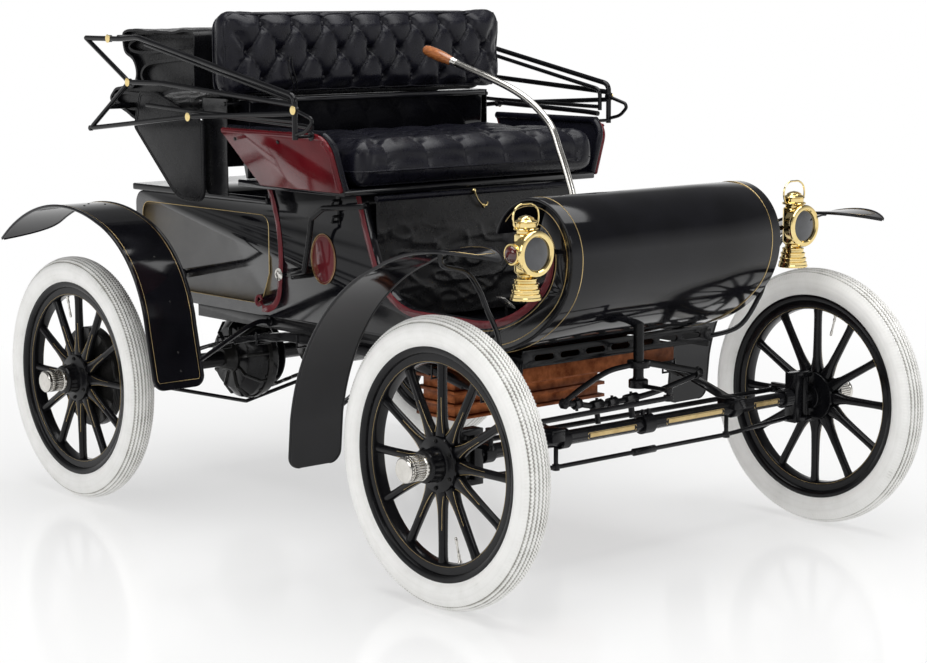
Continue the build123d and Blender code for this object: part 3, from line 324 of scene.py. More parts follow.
def settle(obj):
    """Turn a piece's modifiers into its plain mesh."""
    graph = bpy.context.evaluated_depsgraph_get()
    made = bpy.data.meshes.new_from_object(obj.evaluated_get(graph))
    obj.modifiers.clear()
    obj.data = made
    return obj


def rounded(obj, width, angle):
    """Round a piece's edges that are sharper than angle degrees."""
    bevel = obj.modifiers.new("rounding", "BEVEL")
    bevel.width = width
    bevel.segments = 2
    bevel.limit_method = "ANGLE"
    bevel.angle_limit = math.radians(angle)
    bevel.harden_normals = True
    return settle(obj)


def merged(parts):
    """Several (points, faces) as one."""
    points, faces = [], []
    for part_points, part_faces in parts:
        start = len(points)
        points += part_points
        faces += [tuple(i + start for i in face) for face in part_faces]
    return points, faces


def joined(name, parts, material, angle=35.0):
    """One piece made of several (points, faces)."""
    return new_piece(name, *merged(parts), material, angle)


def mount(obj, body, slot, *nodes):
    """Hang a finished piece on its body and hide the solids that it stands for; its slot is not used."""
    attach(obj, body)
    if nodes:
        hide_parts(*nodes)
    return obj


def on_chassis(name, parts, material, slot, *nodes, angle=35.0):
    """A piece made of parts, fixed to the chassis."""
    return mount(joined(name, parts, material, angle), "chassis", slot, *nodes)


def loft(rings, loop=False):
    """Skin a row of rings that have the same number of points, closed by loop or by caps."""
    count = len(rings[0])
    points = [tuple(p) for ring in rings for p in ring]
    faces = []
    for i in range(len(rings) if loop else len(rings) - 1):
        near, far = i * count, ((i + 1) % len(rings)) * count
        faces += [(near + j, near + (j + 1) % count, far + (j + 1) % count, far + j) for j in range(count)]
    if not loop:
        faces += [tuple(reversed(range(count))), tuple(range(len(points) - count, len(points)))]
    return points, faces


def across(axis):
    """Two directions square to an axis and to each other."""
    axis = Vector(axis).normalized()
    first = axis.orthogonal().normalized()
    if abs(axis.x) > 0.99:
        first = Vector(UP)
    return first, axis.cross(first)


def lathe(profile, centre, axis, steps=48, loop=False):
    """Turn a profile of (radius, place along the axis) round an axis."""
    centre, axis = Vector(centre), Vector(axis).normalized()
    first, second = across(axis)
    rings = []
    for radius, along in profile:
        middle = centre + axis * along
        rings.append([
            middle + (first * math.cos(t) + second * math.sin(t)) * radius
            for t in (2 * math.pi * i / steps for i in range(steps))
        ])
    return loft(rings, loop=loop)


def arc(centre, radius, start, end, count):
    """Points on a circle between two angles in degrees."""
    return [
        (centre[0] + radius * math.cos(math.radians(a)), centre[1] + radius * math.sin(math.radians(a)))
        for a in np.linspace(start, end, count)
    ]


def curve_run(a, b, c, d, per):
    """The points of a smooth line from b up to c, where a lies before and d behind them."""
    slope, bend, twist = c - a, 2 * a - 5 * b + 4 * c - d, 3 * b - a - 3 * c + d
    return [0.5 * (2 * b + slope * t + bend * t * t + twist * t ** 3) for t in (k / per for k in range(per))]


def smooth_route(points, per=8):
    """A smooth line through points, sampled per times between each two."""
    points = [Vector(p) for p in points]
    ends = [points[0] * 2 - points[1], *points, points[-1] * 2 - points[-2]]
    route = []
    for four in zip(ends, ends[1:], ends[2:], ends[3:]):
        route += curve_run(*four, per)
    return route + [points[-1]]


def closed_route(points, per):
    """A smooth closed line through points."""
    points = [Vector(p) for p in points]
    count = len(points)
    line = []
    for i in range(count):
        line += curve_run(*(points[(i + k - 1) % count] for k in range(4)), per)
    return line


def direction_at(path, i):
    """The way that a row of points runs at its point i."""
    return (path[min(i + 1, len(path) - 1)] - path[max(i - 1, 0)]).normalized()


def bent_route(points, radius, per=6):
    """Straight runs joined by round bends."""
    points = [Vector(p) for p in points]
    route = [points[0]]
    for before, corner, after in zip(points, points[1:], points[2:]):
        into, out = (before - corner).normalized(), (after - corner).normalized()
        reach = min(radius, (before - corner).length * 0.45, (after - corner).length * 0.45)
        start, end = corner + into * reach, corner + out * reach
        steps = (i / per for i in range(per + 1))
        route += [start.lerp(corner, t).lerp(corner.lerp(end, t), t) for t in steps]
    return route + [points[-1]]


def tube(route, radius, sides=12, flat=1.0, wide=None, loop=False):
    """A bar along a route; radius may be a list, flat thins it square to the direction wide."""
    route = [Vector(p) for p in route]
    radii = radius if isinstance(radius, (list, tuple)) else [radius] * len(route)
    rings = []
    first = None
    for i, place in enumerate(route):
        before = route[i - 1] if (i or loop) else place
        after = route[(i + 1) % len(route)] if (i + 1 < len(route) or loop) else place
        along = (after - before).normalized()
        if wide is not None:
            second = along.cross(Vector(wide)).normalized()
            first = second.cross(along).normalized()
        else:
            first = (first - along * first.dot(along)).normalized() if first else across(along)[0]
            second = along.cross(first)
        rings.append([
            place + first * math.cos(t) * radii[i] + second * math.sin(t) * radii[i] * flat
            for t in (2 * math.pi * j / sides for j in range(sides))
        ])
    return loft(rings, loop=loop)


def swept(section, path, edges, room=None):
    """Sweep a strip's section along a (y, z) path. Section points are (edge, inset, depth):
    the inset runs from that edge towards the other, the depth to the path's right-hand side.
    edges(i, place) gives the strip's edges; where half its width is under room, the insets shrink."""
    path = [Vector((0, y, z)) for y, z in path]
    rings = []
    for i, place in enumerate(path):
        along = direction_at(path, i)
        side = Vector((0, along.z, -along.y))
        near, far = edges(i, place)
        share = min(1.0, (far - near) / 2 / room) if room else 1.0
        rings.append([
            place + side * depth + Vector((near + inset * share if edge == 0 else far - inset * share, 0, 0))
            for edge, inset, depth in section
        ])
    return loft(rings)


def mirrored(part):
    """The same points and faces on the car's other side."""
    points, faces = part
    return [(-x, y, z) for x, y, z in points], [tuple(reversed(face)) for face in faces]


# Node trees for pieces that repeat
def start_tree(name, *inputs):
    """An empty node tree with named inputs and one output."""
    tree = bpy.data.node_groups.new(name, "GeometryNodeTree")
    for label, kind in inputs:
        tree.interface.new_socket(label, in_out="INPUT", socket_type="NodeSocket" + kind)
    tree.interface.new_socket("Pieces", in_out="OUTPUT", socket_type="NodeSocketGeometry")
    return tree, tree.nodes.new("NodeGroupInput").outputs


def end_tree(tree, instances, finish):
    """Make the instances real, give them their finish and hand them out."""
    real = tree.nodes.new("GeometryNodeRealizeInstances")
    painted = tree.nodes.new("GeometryNodeSetMaterial")
    out = tree.nodes.new("NodeGroupOutput")
    tree.links.new(instances, real.inputs["Geometry"])
    tree.links.new(real.outputs["Geometry"], painted.inputs["Geometry"])
    tree.links.new(finish, painted.inputs["Material"])
    tree.links.new(painted.outputs["Geometry"], out.inputs["Pieces"])
    return tree


def math_node(tree, operation, first, second):
    """One arithmetic node; each value is a socket or a number."""
    node = tree.nodes.new("ShaderNodeMath")
    node.operation = operation
    for socket, value in zip(node.inputs, (first, second)):
        if isinstance(value, (int, float)):
            socket.default_value = value
        else:
            tree.links.new(value, socket)
    return node.outputs["Value"]


def ring_tree():
    """Copies of a piece spaced evenly round an axis."""
    tree, given = start_tree(
        "spaced_round_an_axis",
        ("Piece", "Geometry"), ("Count", "Int"), ("Centre", "Vector"), ("Axis", "Vector"),
        ("Finish", "Material"),
    )
    points = tree.nodes.new("GeometryNodePoints")
    copies = tree.nodes.new("GeometryNodeInstanceOnPoints")
    index = tree.nodes.new("GeometryNodeInputIndex").outputs["Index"]
    turn = tree.nodes.new("FunctionNodeAxisAngleToRotation")
    turned = tree.nodes.new("GeometryNodeRotateInstances")
    turned.inputs["Local Space"].default_value = False
    tree.links.new(given["Count"], points.inputs["Count"])
    tree.links.new(points.outputs["Points"], copies.inputs["Points"])
    tree.links.new(given["Piece"], copies.inputs["Instance"])
    share = math_node(tree, "DIVIDE", index, given["Count"])
    tree.links.new(math_node(tree, "MULTIPLY", share, 2 * math.pi), turn.inputs["Angle"])
    tree.links.new(given["Axis"], turn.inputs["Axis"])
    tree.links.new(copies.outputs["Instances"], turned.inputs["Instances"])
    tree.links.new(turn.outputs["Rotation"], turned.inputs["Rotation"])
    tree.links.new(given["Centre"], turned.inputs["Pivot Point"])
    return end_tree(tree, turned.outputs["Instances"], given["Finish"])


def spots_tree():
    """A round-headed spot, such as a rivet or button, at each point of a cloud, facing along its normal."""
    tree, given = start_tree(
        "spots_on_points",
        ("Cloud", "Geometry"), ("Radius", "Float"), ("Rise", "Float"), ("Facing", "Vector"),
        ("Finish", "Material"),
    )
    head = tree.nodes.new("GeometryNodeMeshUVSphere")
    head.inputs["Segments"].default_value = 14
    head.inputs["Rings"].default_value = 8
    size = tree.nodes.new("ShaderNodeCombineXYZ")
    turn = tree.nodes.new("FunctionNodeAlignRotationToVector")
    copies = tree.nodes.new("GeometryNodeInstanceOnPoints")
    tree.links.new(given["Radius"], size.inputs["X"])
    tree.links.new(given["Radius"], size.inputs["Y"])
    tree.links.new(given["Rise"], size.inputs["Z"])
    tree.links.new(given["Facing"], turn.inputs["Vector"])
    tree.links.new(given["Cloud"], copies.inputs["Points"])
    tree.links.new(head.outputs["Mesh"], copies.inputs["Instance"])
    tree.links.new(size.outputs["Vector"], copies.inputs["Scale"])
    tree.links.new(turn.outputs["Rotation"], copies.inputs["Rotation"])
    return end_tree(tree, copies.outputs["Instances"], given["Finish"])


RING = ring_tree()
SPOTS = spots_tree()


def grow(obj, tree, **inputs):
    """Run a node tree on a piece and keep the plain mesh that it makes."""
    modifier = obj.modifiers.new("repeat", "NODES")
    modifier.node_group = tree
    for item in tree.interface.items_tree:
        if item.item_type == "SOCKET" and item.in_out == "INPUT" and item.name in inputs:
            modifier[item.identifier] = inputs[item.name]
    return settle(obj)


def spots(name, places, radius, rise, facing, material):
    """Round heads at given places, as one piece."""
    mesh = bpy.data.meshes.new(name)
    mesh.from_pydata([tuple(p) for p in places], [], [])
    obj = bpy.data.objects.new(name, mesh)
    bpy.context.scene.collection.objects.link(obj)
    grow(obj, SPOTS, Radius=radius, Rise=rise, Facing=facing, Finish=material)
    dress(obj, material, 60.0)
    return obj


def softened(node, material, slot, width):
    """A solid's own shape with its edges eased, under its finish."""
    source = frame["nodes"][node]
    obj = bpy.data.objects.new(node + "_finished", source.data.copy())
    bpy.context.scene.collection.objects.link(obj)
    tidy_mesh(obj.data, weld=2e-5, flatten=0.6)
    dress(obj, material, 30.0)
    rounded(obj, width, 30.0)
    dress(obj, material, 40.0)
    return mount(obj, body_of(source)[0], slot, node)


# Wheels: places along the axle run outwards from the wheel's middle
TYRE_STEPS, TYRE_CELLS = 480, 56
TYRE_HALF = 0.0432
TYRE_CENTRE, TYRE_ROUND = 0.320, 0.0428
BEAD_DEGREES, SHOULDER_DEGREES, TREAD_DEGREES = 128, 66, 48
ZIGZAG = 0.0021
TREAD_RISE, GROOVE_DEPTH, SHOULDER_RISE, WALL_RING_DEPTH = 0.0008, 0.0024, 0.0006, 0.0003
RIM_BED = 0.272
SPOKES = 12
# Degrees round each wheel from its lowest point
VALVE_TURNS = {"fl": -165, "fr": -15, "rl": 15, "rr": 165}
VALVE_FOOT = 0.2465
BOLT_CIRCLE, BOLTS = 0.0590, 6
FLUTE_CIRCLE, FLUTES = 0.0296, 30
# Radius, half width round the wheel, half depth along the axle, squareness
SPOKE_STATIONS = (
    (0.050, 0.0130, 0.0150, 3.2), (0.066, 0.0175, 0.0155, 3.0), (0.078, 0.0185, 0.0150, 2.8),
    (0.092, 0.0150, 0.0140, 2.4), (0.110, 0.0122, 0.0134, 2.1), (0.150, 0.0112, 0.0130, 2.0),
    (0.205, 0.0107, 0.0122, 2.0), (0.232, 0.0112, 0.0122, 2.0), (0.243, 0.0125, 0.0130, 2.0),
    (0.249, 0.0125, 0.0130, 2.0),
)
# Along the axle, beside the spoke, radius
SPOKE_LINE = (
    (0.0118, 0.0150, 0.078), (0.0112, 0.0118, 0.092), (0.0106, 0.0085, 0.112), (0.0100, 0.0070, 0.136),
    (0.0100, 0.0064, 0.165),
)
# Turned profiles, as (radius, place along the axis)
FELLOE = (
    (0.2475, -0.014), (0.2475, 0.014), (0.2495, 0.018), (0.254, 0.0200), (0.2715, 0.0200),
    (0.2720, 0.0195), (0.2720, -0.0195), (0.2715, -0.0200), (0.254, -0.0200), (0.2495, -0.018),
)
RIM_HALF = (
    (0.2722, 0.0240), (0.2760, 0.0288), (0.2860, 0.0298), (0.2925, 0.0300), (0.2945, 0.0288),
    (0.2948, 0.0268), (0.2930, 0.0256), (0.2800, 0.0258), (0.2770, 0.0230),
)
HUB = (
    (0.0, -0.0370), (0.0340, -0.0375), (0.0358, -0.0360), (0.0360, -0.0240), (0.0690, -0.0238),
    (0.0700, -0.0225), (0.0700, -0.0160), (0.0560, -0.0155), (0.0500, -0.0140), (0.0500, 0.0140),
    (0.0690, 0.0145), (0.0698, 0.0160), (0.0690, 0.0215), (0.0660, 0.0225), (0.0480, 0.0238),
    (0.0440, 0.0260), (0.0418, 0.0320), (0.0412, 0.0560), (0.0418, 0.0600), (0.0400, 0.0640),
    (0.0350, 0.0665), (0.0, 0.0668),
)
HUB_BOLT = (
    (0.0, 0.0218), (0.0056, 0.0218), (0.0056, 0.0262), (0.0047, 0.0272), (0.0030, 0.0274),
    (0.0030, 0.0290), (0.0024, 0.0298), (0.0, 0.0298),
)
CAP = (
    (0.0, 0.0660), (0.0320, 0.0665), (0.0330, 0.0680), (0.0330, 0.0735), (0.0312, 0.0750),
    (0.0298, 0.0760), (0.0298, 0.1130), (0.0312, 0.1145), (0.0322, 0.1180), (0.0315, 0.1230),
    (0.0285, 0.1260), (0.0270, 0.1266), (0.0255, 0.1264), (0.0, 0.1272),
)
CAP_FLUTE = (
    (0.0, 0.0755), (0.0022, 0.0760), (0.0026, 0.0780), (0.0026, 0.1115), (0.0020, 0.1135), (0.0, 0.1140)
)
VALVE = (
    (0.0, 0.0), (0.0058, 0.0), (0.0058, 0.004), (0.0042, 0.006), (0.0036, 0.012), (0.0042, 0.013),
    (0.0042, 0.020), (0.0032, 0.022), (0.0030, 0.048), (0.0038, 0.050), (0.0038, 0.062), (0.0028, 0.064),
    (0.0, 0.065),
)


DRUM_RIBS, DRUM_RIB_PITCH = 5, 0.006
DRUM_RIB = ((0.1498, 0.0), (0.1498, -0.0036), (0.1482, -0.0042), (0.1482, -0.0054))
DRUM_FACE = ((0.0360, -0.0240), (0.1470, -0.0240), (0.1488, -0.0252))
DRUM_INSIDE = ((0.1488, -0.0580), (0.1440, -0.0580), (0.1440, -0.0305), (0.1400, -0.0300), (0.0360, -0.0300))


def drum_profile():
    """A brake drum with ribs round it."""
    starts = [-0.0270 - DRUM_RIB_PITCH * k for k in range(DRUM_RIBS)]
    ribs = [(radius, start + along) for start in starts for radius, along in DRUM_RIB]
    return [*DRUM_FACE, *ribs, *DRUM_INSIDE]


def tyre_mesh(centre, outward):
    """A tyre with rings on its walls and zigzag ribs on its tread, and each point's share of painted groove
    shade.
    """
    rings, groove_shades = [], []
    for step in range(TYRE_STEPS):
        turn = 2 * math.pi * step / TYRE_STEPS
        swing = 1 if step % 2 else -1
        ring = []
        for k in range(TYRE_CELLS + 1):
            # From the inner bead over the crown to the outer bead
            degrees = BEAD_DEGREES * (2 * k / TYRE_CELLS - 1)
            radius = TYRE_CENTRE + TYRE_ROUND * math.cos(math.radians(degrees))
            width = TYRE_HALF * math.sin(math.radians(degrees))
            # groove is each point's share of painted shade: full in the tread's grooves, less in the
            # shoulder's dips and the wall rings
            groove = 0.0
            if abs(degrees) < TREAD_DEGREES:
                # Ribs two cells wide, parted by zigzag grooves one cell wide
                groove = 1.0 if k % 3 == 2 else 0.0
                width += ZIGZAG * swing
                radius += -GROOVE_DEPTH if groove else TREAD_RISE
            elif abs(degrees) < SHOULDER_DEGREES:
                radius += SHOULDER_RISE * swing
                groove = 0.22 if swing < 0 else 0.0
            elif k % 5 == 0:
                radius -= WALL_RING_DEPTH
                width *= 0.990
                groove = 0.14
            ring.append((width, max(radius, RIM_BED + 0.006)))
            groove_shades.append(groove)
        for width in (0.0156, 0.0, -0.0156):
            ring.append((width, RIM_BED + 0.0055))
            groove_shades.append(0.0)
        c, s = math.cos(turn), math.sin(turn)
        rings.append([
            (centre[0] + outward * width, centre[1] + radius * c, centre[2] + radius * s)
            for width, radius in ring
        ])
    return loft(rings, loop=True), groove_shades


def spoke_seed(centre, outward):
    """One turned wooden spoke, wedge-footed at the hub and swelling at the felloe, pointing up."""
    rings = []
    for radius, wide, deep, square in SPOKE_STATIONS:
        ring = []
        for t in (2 * math.pi * j / 20 for j in range(20)):
            c, s = math.cos(t), math.sin(t)
            reach = (abs(c) ** square + abs(s) ** square) ** (-1 / square)
            ring.append((
                centre[0] + outward * c * reach * deep, centre[1] + s * reach * wide, centre[2] + radius,
            ))
        rings.append(ring)
    return loft(rings)


def wheel_pieces(tag, side, y):
    """One wheel: painted wood, steel rim, bolted hub, fluted cap, fine lines, valve and tyre."""
    centre = (side * WHEEL_X, y, HUB_Z)
    body = "wheel_" + tag
    out = (side, 0, 0)

    def add(name, part, material, slot, *nodes, angle=35.0, copies=1):
        """Hang one piece on the wheel, repeated round its axle if asked."""
        piece = new_piece(f"wheel_{tag}_{name}", *part, material, angle)
        if copies > 1:
            grow(piece, RING, Count=copies, Centre=centre, Axis=ACROSS, Finish=material)
            dress(piece, material, angle)
        mount(piece, body, slot, *nodes)

    def above(rise):
        return centre[0], centre[1], centre[2] + rise

    shape, groove_shades = tyre_mesh(centre, side)
    tyre = new_piece(f"tyre_{tag}_white", *shape, WHITE_RUBBER, 50.0)
    # The painted groove shade goes onto the mesh as its groove attribute
    tyre.data.attributes.new("groove", "FLOAT", "POINT").data.foreach_set("value", groove_shades)
    mount(tyre, body, "white_rubber", "tyre_" + tag)

    inner_half = [(radius, -along) for radius, along in RIM_HALF]
    rim = [inner_half[0], *RIM_HALF, *inner_half[:0:-1]]
    add("felloe", lathe(FELLOE, centre, out, 128, loop=True), WHEEL_BLACK, "wheel_paint", "wheel_" + tag)
    add("spokes", spoke_seed(centre, side), WHEEL_BLACK, "wheel_paint", angle=50.0, copies=SPOKES)
    add("rim", lathe(rim, centre, out, 160, loop=True), WHEEL_BLACK, "wheel_paint", angle=50.0)
    add("hub", lathe(HUB, centre, out, 72), WHEEL_BLACK, "cast_iron", angle=30.0)
    if tag[0] == "r":
        add("drum", lathe(drum_profile(), centre, out, 128, loop=True), IRON, "cast_iron", angle=30.0)
    bolt = lathe(HUB_BOLT, above(BOLT_CIRCLE), out, 6)
    add("bolts", bolt, IRON, "cast_iron", angle=20.0, copies=BOLTS)
    add("cap", lathe(CAP, centre, out, 64), NICKEL, "nickel", angle=30.0)
    flute = lathe(CAP_FLUTE, above(FLUTE_CIRCLE), out, 8)
    add("cap_flutes", flute, NICKEL, "nickel", angle=60.0, copies=FLUTES)

    threads = [arc((0.2520, along), 0.0004, 0, 300, 6) for along in (0.0197, -0.0197)]
    ring_lines = merged([lathe(thread, centre, out, 128, loop=True) for thread in threads])
    add("line", ring_lines, GILT, "brass", angle=80.0)
    line = [(centre[0] + side * x, centre[1] + dy, centre[2] + z) for x, dy, z in SPOKE_LINE]
    beside = [(x, 2 * centre[1] - y, z) for x, y, z in line]
    spoke_lines = merged([tube(smooth_route(route, 3), 0.0006, 5) for route in (line, beside)])
    add("spoke_lines", spoke_lines, GILT, "brass", angle=80.0, copies=SPOKES)

    turn = math.radians(VALVE_TURNS[tag])
    foot = (centre[0], centre[1] + VALVE_FOOT * math.sin(turn), centre[2] - VALVE_FOOT * math.cos(turn))
    inward = (0, -math.sin(turn), math.cos(turn))
    add("valve", lathe(VALVE, foot, inward, 16), NICKEL, "nickel", angle=40.0)


for tag, side, y in (("fl", 1, -AXLE_Y), ("fr", -1, -AXLE_Y), ("rl", 1, AXLE_Y), ("rr", -1, AXLE_Y)):
    wheel_pieces(tag, side, y)


# Body profiles, as (y, z)
ROLL = (-0.818, 0.843)
ROLL_RADIUS = 0.148
BROW_Y = -0.766
BROW_RADIUS = 0.200
TOE_RADIUS = 0.4356
TOE_SHIFT = (TOE_RADIUS - BROW_RADIUS) * math.cos(math.radians(45))
TOE = (BROW_Y + TOE_SHIFT, ROLL[1] + TOE_SHIFT)
DASH_THICK = 0.008
DASH_EASE = 0.0032
DASH_FLAT = 0.2


def dash_line(inset, start=20.0, fine=1.0):
    """The rolled dash's side profile, inset from its outer face, from the roll's lip down to the toe."""
    return (
        arc(ROLL, ROLL_RADIUS - inset, start, 180, int(84 * fine))
        + arc((BROW_Y, ROLL[1]), BROW_RADIUS - inset, 180, 225, int(24 * fine))[1:]
        + arc(TOE, TOE_RADIUS - inset, 225, 270, int(36 * fine))[1:]
    )


def on_side(line, x):
    """A (y, z) line put at x."""
    return [(x, y, z) for y, z in line]


def both_sides(name, parts, material, slot, *nodes, angle=35.0):
    """A piece made of parts on the left side and their reflections on the right."""
    return on_chassis(name, [*parts, *map(mirrored, parts)], material, slot, *nodes, angle=angle)


# The dash: one bent sheet with rolled edges
dash_edge = [
    (DASH_EASE * (1 - math.sin(t)), DASH_EASE * (1 - math.cos(t))) for t in np.linspace(0, math.pi / 2, 4)
]
dash_edge.append((0.0, DASH_THICK - DASH_EASE))
dash_edge += [
    (DASH_EASE * (1 - math.cos(t)), DASH_THICK - DASH_EASE * (1 - math.sin(t)))
    for t in np.linspace(0.4, math.pi / 2, 3)
]
dash_edge.append((DASH_FLAT, DASH_THICK))
dash_section = (
    [(0, inset, -depth) for inset, depth in dash_edge]
    + [(1, inset, -depth) for inset, depth in dash_edge[::-1]]
    + [(1, DASH_FLAT, 0.0), (0, DASH_FLAT, 0.0)]
)
dash = swept(dash_section, dash_line(0.0), lambda i, place: (-BODY_HALF, BODY_HALF))
on_chassis("dash_sheet", [dash], BLACK, "body_paint", "dash_panel", angle=40.0)

# Flat boards, rails and iron keep their solids' shapes, with eased edges
for node, material, slot, width in (
    ("side_panels", BLACK, "body_paint", 0.0025),
    ("seat_front_board", BLACK, "body_paint", 0.001),
    ("seat_rear_board", BLACK, "body_paint", 0.002),
    ("rear_panel", BLACK, "body_paint", 0.002),
    ("deck_lid", BLACK, "body_paint", 0.004),
    ("floor_board", BLACK, "body_paint", 0.001),
    ("seat_base", BLACK, "body_paint", 0.004),
    ("seat_back_board", BLACK, "body_paint", 0.002),
    ("drive_chain", IRON, "cast_iron", 0.0006),
    ("frame_rails", ENAMEL, "chassis_enamel", 0.0018),
    ("front_cross_member", ENAMEL, "chassis_enamel", 0.0015),
    ("springs", ENAMEL, "chassis_enamel", 0.0012),
    ("front_axle", ENAMEL, "chassis_enamel", 0.002),
    ("front_truss_rod", ENAMEL, "chassis_enamel", 0.0012),
    ("rear_axle", ENAMEL, "chassis_enamel", 0.002),
    ("engine_block", IRON, "cast_iron", 0.004),
    ("radiator", COPPER, "copper", 0.0006),
    ("knuckle_left", ENAMEL, "chassis_enamel", 0.0018),
    ("knuckle_right", ENAMEL, "chassis_enamel", 0.0018),
    ("tie_rod", ENAMEL, "chassis_enamel", 0.0015),
    ("drag_link", ENAMEL, "chassis_enamel", 0.0015),
    ("lamp_brackets", ENAMEL, "chassis_enamel", 0.0015),
    ("starting_crank", ENAMEL, "chassis_enamel", 0.0012),
    ("mouldings", CHERRY, "burgundy_paint", 0.0012),
    ("seat_sides", BURGUNDY, "burgundy_paint", 0.0035),
):
    softened(node, material, slot, width)

# Gilt lines on the body's sides, back and dash
LINE = 0.0011
LINE_LIFT = 0.0002
LINE_INSET = 0.034
FRAME_CORNER = 0.04
SIDE_FACE = BODY_HALF + LINE_LIFT
deck_frame = ((0.300, 0.70), (0.300, 0.868), (0.962, 0.868), (0.962, 0.608), (0.340, 0.608), (0.300, 0.70))
side_lines = [
    tube(on_side(dash_line(0.020, 40, 0.5), SIDE_FACE), LINE, 6),
    tube(on_side(dash_line(0.060, 60, 0.5), SIDE_FACE), LINE, 6),
    tube(bent_route(on_side(deck_frame, SIDE_FACE), FRAME_CORNER), LINE, 6),
]
both_sides("gilt_lines_on_sides", side_lines, GILT, "brass")

back_low, back_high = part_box("rear_panel")
line_y, low_z, high_z = back_high.y + 2 * LINE_LIFT, back_low.z + LINE_INSET, back_high.z - LINE_INSET
back_frame = (
    (-0.350, 0.70), (-0.350, high_z), (0.350, high_z), (0.350, low_z), (-0.350, low_z), (-0.350, 0.70)
)
back_line = tube(bent_route([(x, line_y, z) for x, z in back_frame], FRAME_CORNER), LINE, 6)
on_chassis("gilt_line_on_rear", [back_line], GILT, "brass")

front_lines = [
    tube(on_side(dash_line(-LINE_LIFT, 60, 0.7), x), LINE, 6)
    for x in (-BODY_HALF + LINE_INSET, BODY_HALF - LINE_INSET)
]
on_chassis("gilt_lines_on_dash", front_lines, GILT, "brass")


# Fenders: thin bent leaves with beaded edges and a drawn tip
FENDER_NEAR, FENDER_FAR = 0.618, 0.790
FENDER_ROOM = (FENDER_FAR - FENDER_NEAR) / 2 + 0.0001
FENDER_CORNER = 0.034
FENDER_HALF = 0.0019
BEAD = 0.0045
TIP_HALF = 0.004
BORDER = 0.0155
STAY_FOOT = ((0.0, 0.0), (0.0145, 0.0), (0.0150, 0.0012), (0.0150, 0.0050), (0.0135, 0.0070), (0.0, 0.0075))
RIVET = ((0.0, 0.0), (0.0036, 0.0), (0.0034, 0.0010), (0.0022, 0.0019), (0.0, 0.0022))
# Places on a fender's path, from the wheel's middle, as shares of its radius
FRONT_SHARES = (
    (1.404, -0.234), (1.368, 0.132), (1.121, 0.733), (0.390, 1.302), (-0.170, 1.453), (-0.596, 1.418)
)
REAR_SHARES = (
    (-1.492, 0.099), (-1.382, 0.569), (-1.192, 1.014), (-0.703, 1.349), (-0.272, 1.437), (0.799, 1.100)
)
# How far along the rear fender's path, and at what x
RIVET_PLACES = (
    (0.09, 0.694), (0.13, 0.694), (0.23, 0.694), (0.36, 0.694), (0.66, 0.660), (0.66, 0.730), (0.69, 0.695)
)


def through(a, b, c, count):
    """Points on the circle through three (y, z) points."""
    (ax, ay), (bx, by), (cx, cy) = a, b, c
    aa, bb, cc = ax * ax + ay * ay, bx * bx + by * by, cx * cx + cy * cy
    d = 2 * (ax * (by - cy) + bx * (cy - ay) + cx * (ay - by))
    ux = (aa * (by - cy) + bb * (cy - ay) + cc * (ay - by)) / d
    uy = (aa * (cx - bx) + bb * (ax - cx) + cc * (bx - ax)) / d
    first, second, third = (math.atan2(y - uy, x - ux) for x, y in (a, b, c))
    full = 2 * math.pi
    way = (second - first + math.pi) % full - math.pi
    turn = (third - first) % full if way > 0 else -((first - third) % full)
    return arc((ux, uy), math.hypot(ax - ux, ay - uy), math.degrees(first), math.degrees(first + turn), count)


def fender_path(shares, wheel_y):
    """A fender's side profile: a straight lower end and two round runs through its measured places."""
    places = [(wheel_y + a * HUB_Z, HUB_Z + b * HUB_Z) for a, b in shares]
    start = [tuple(Vector(places[0]).lerp(Vector(places[1]), t * t)) for t in np.linspace(0, 1, 18)]
    return start + through(*places[1:4], 40)[1:] + through(*places[3:6], 52)[1:]


def off_wheel(place, behind, ahead, wheel_y):
    """The direction square to a fender's path that points away from its wheel."""
    out = Vector((0, behind[1] - ahead[1], ahead[0] - behind[0])).normalized()
    return -out if out.dot(Vector((0, place[0] - wheel_y, place[1] - HUB_Z))) < 0 else out


def fender_part(shares, wheel_y, tip_x, leaf_length, power):
    """One fender leaf on the left side, with its path and its edges."""
    path = fender_path(shares, wheel_y)
    tip_y, way = path[-1][0], math.copysign(1, shares[-1][0])
    run = np.cumsum([0.0] + [math.dist(a, b) for a, b in zip(path, path[1:])])

    def edges(i, place):
        back = (tip_y - place.y) * way
        if run[i] < FENDER_CORNER:
            # The lower end's corners are rounded
            inset = FENDER_CORNER - math.sqrt(FENDER_CORNER ** 2 - (FENDER_CORNER - run[i]) ** 2)
            return FENDER_NEAR + inset, FENDER_FAR - inset
        if back > leaf_length:
            return FENDER_NEAR, FENDER_FAR
        # The leaf's two edges draw in, slowly and then fast, to the tip
        draw = (1 - back / leaf_length) ** power
        return (
            FENDER_NEAR + (tip_x - TIP_HALF - FENDER_NEAR) * draw,
            FENDER_FAR + (tip_x + TIP_HALF - FENDER_FAR) * draw,
        )

    bead = [(BEAD * (1 + math.cos(t)), BEAD * math.sin(t)) for t in np.linspace(0.45, 2 * math.pi - 0.45, 9)]
    flat = ((0, 0.030), (0, 0.060), (1, 0.060), (1, 0.030))
    section = (
        [(0, inset, depth) for inset, depth in bead]
        + [(edge, inset, -FENDER_HALF) for edge, inset in flat]
        + [(1, inset, -depth) for inset, depth in bead]
        + [(edge, inset, FENDER_HALF) for edge, inset in flat[::-1]]
    )
    return swept(section, path, edges, FENDER_ROOM), path, edges


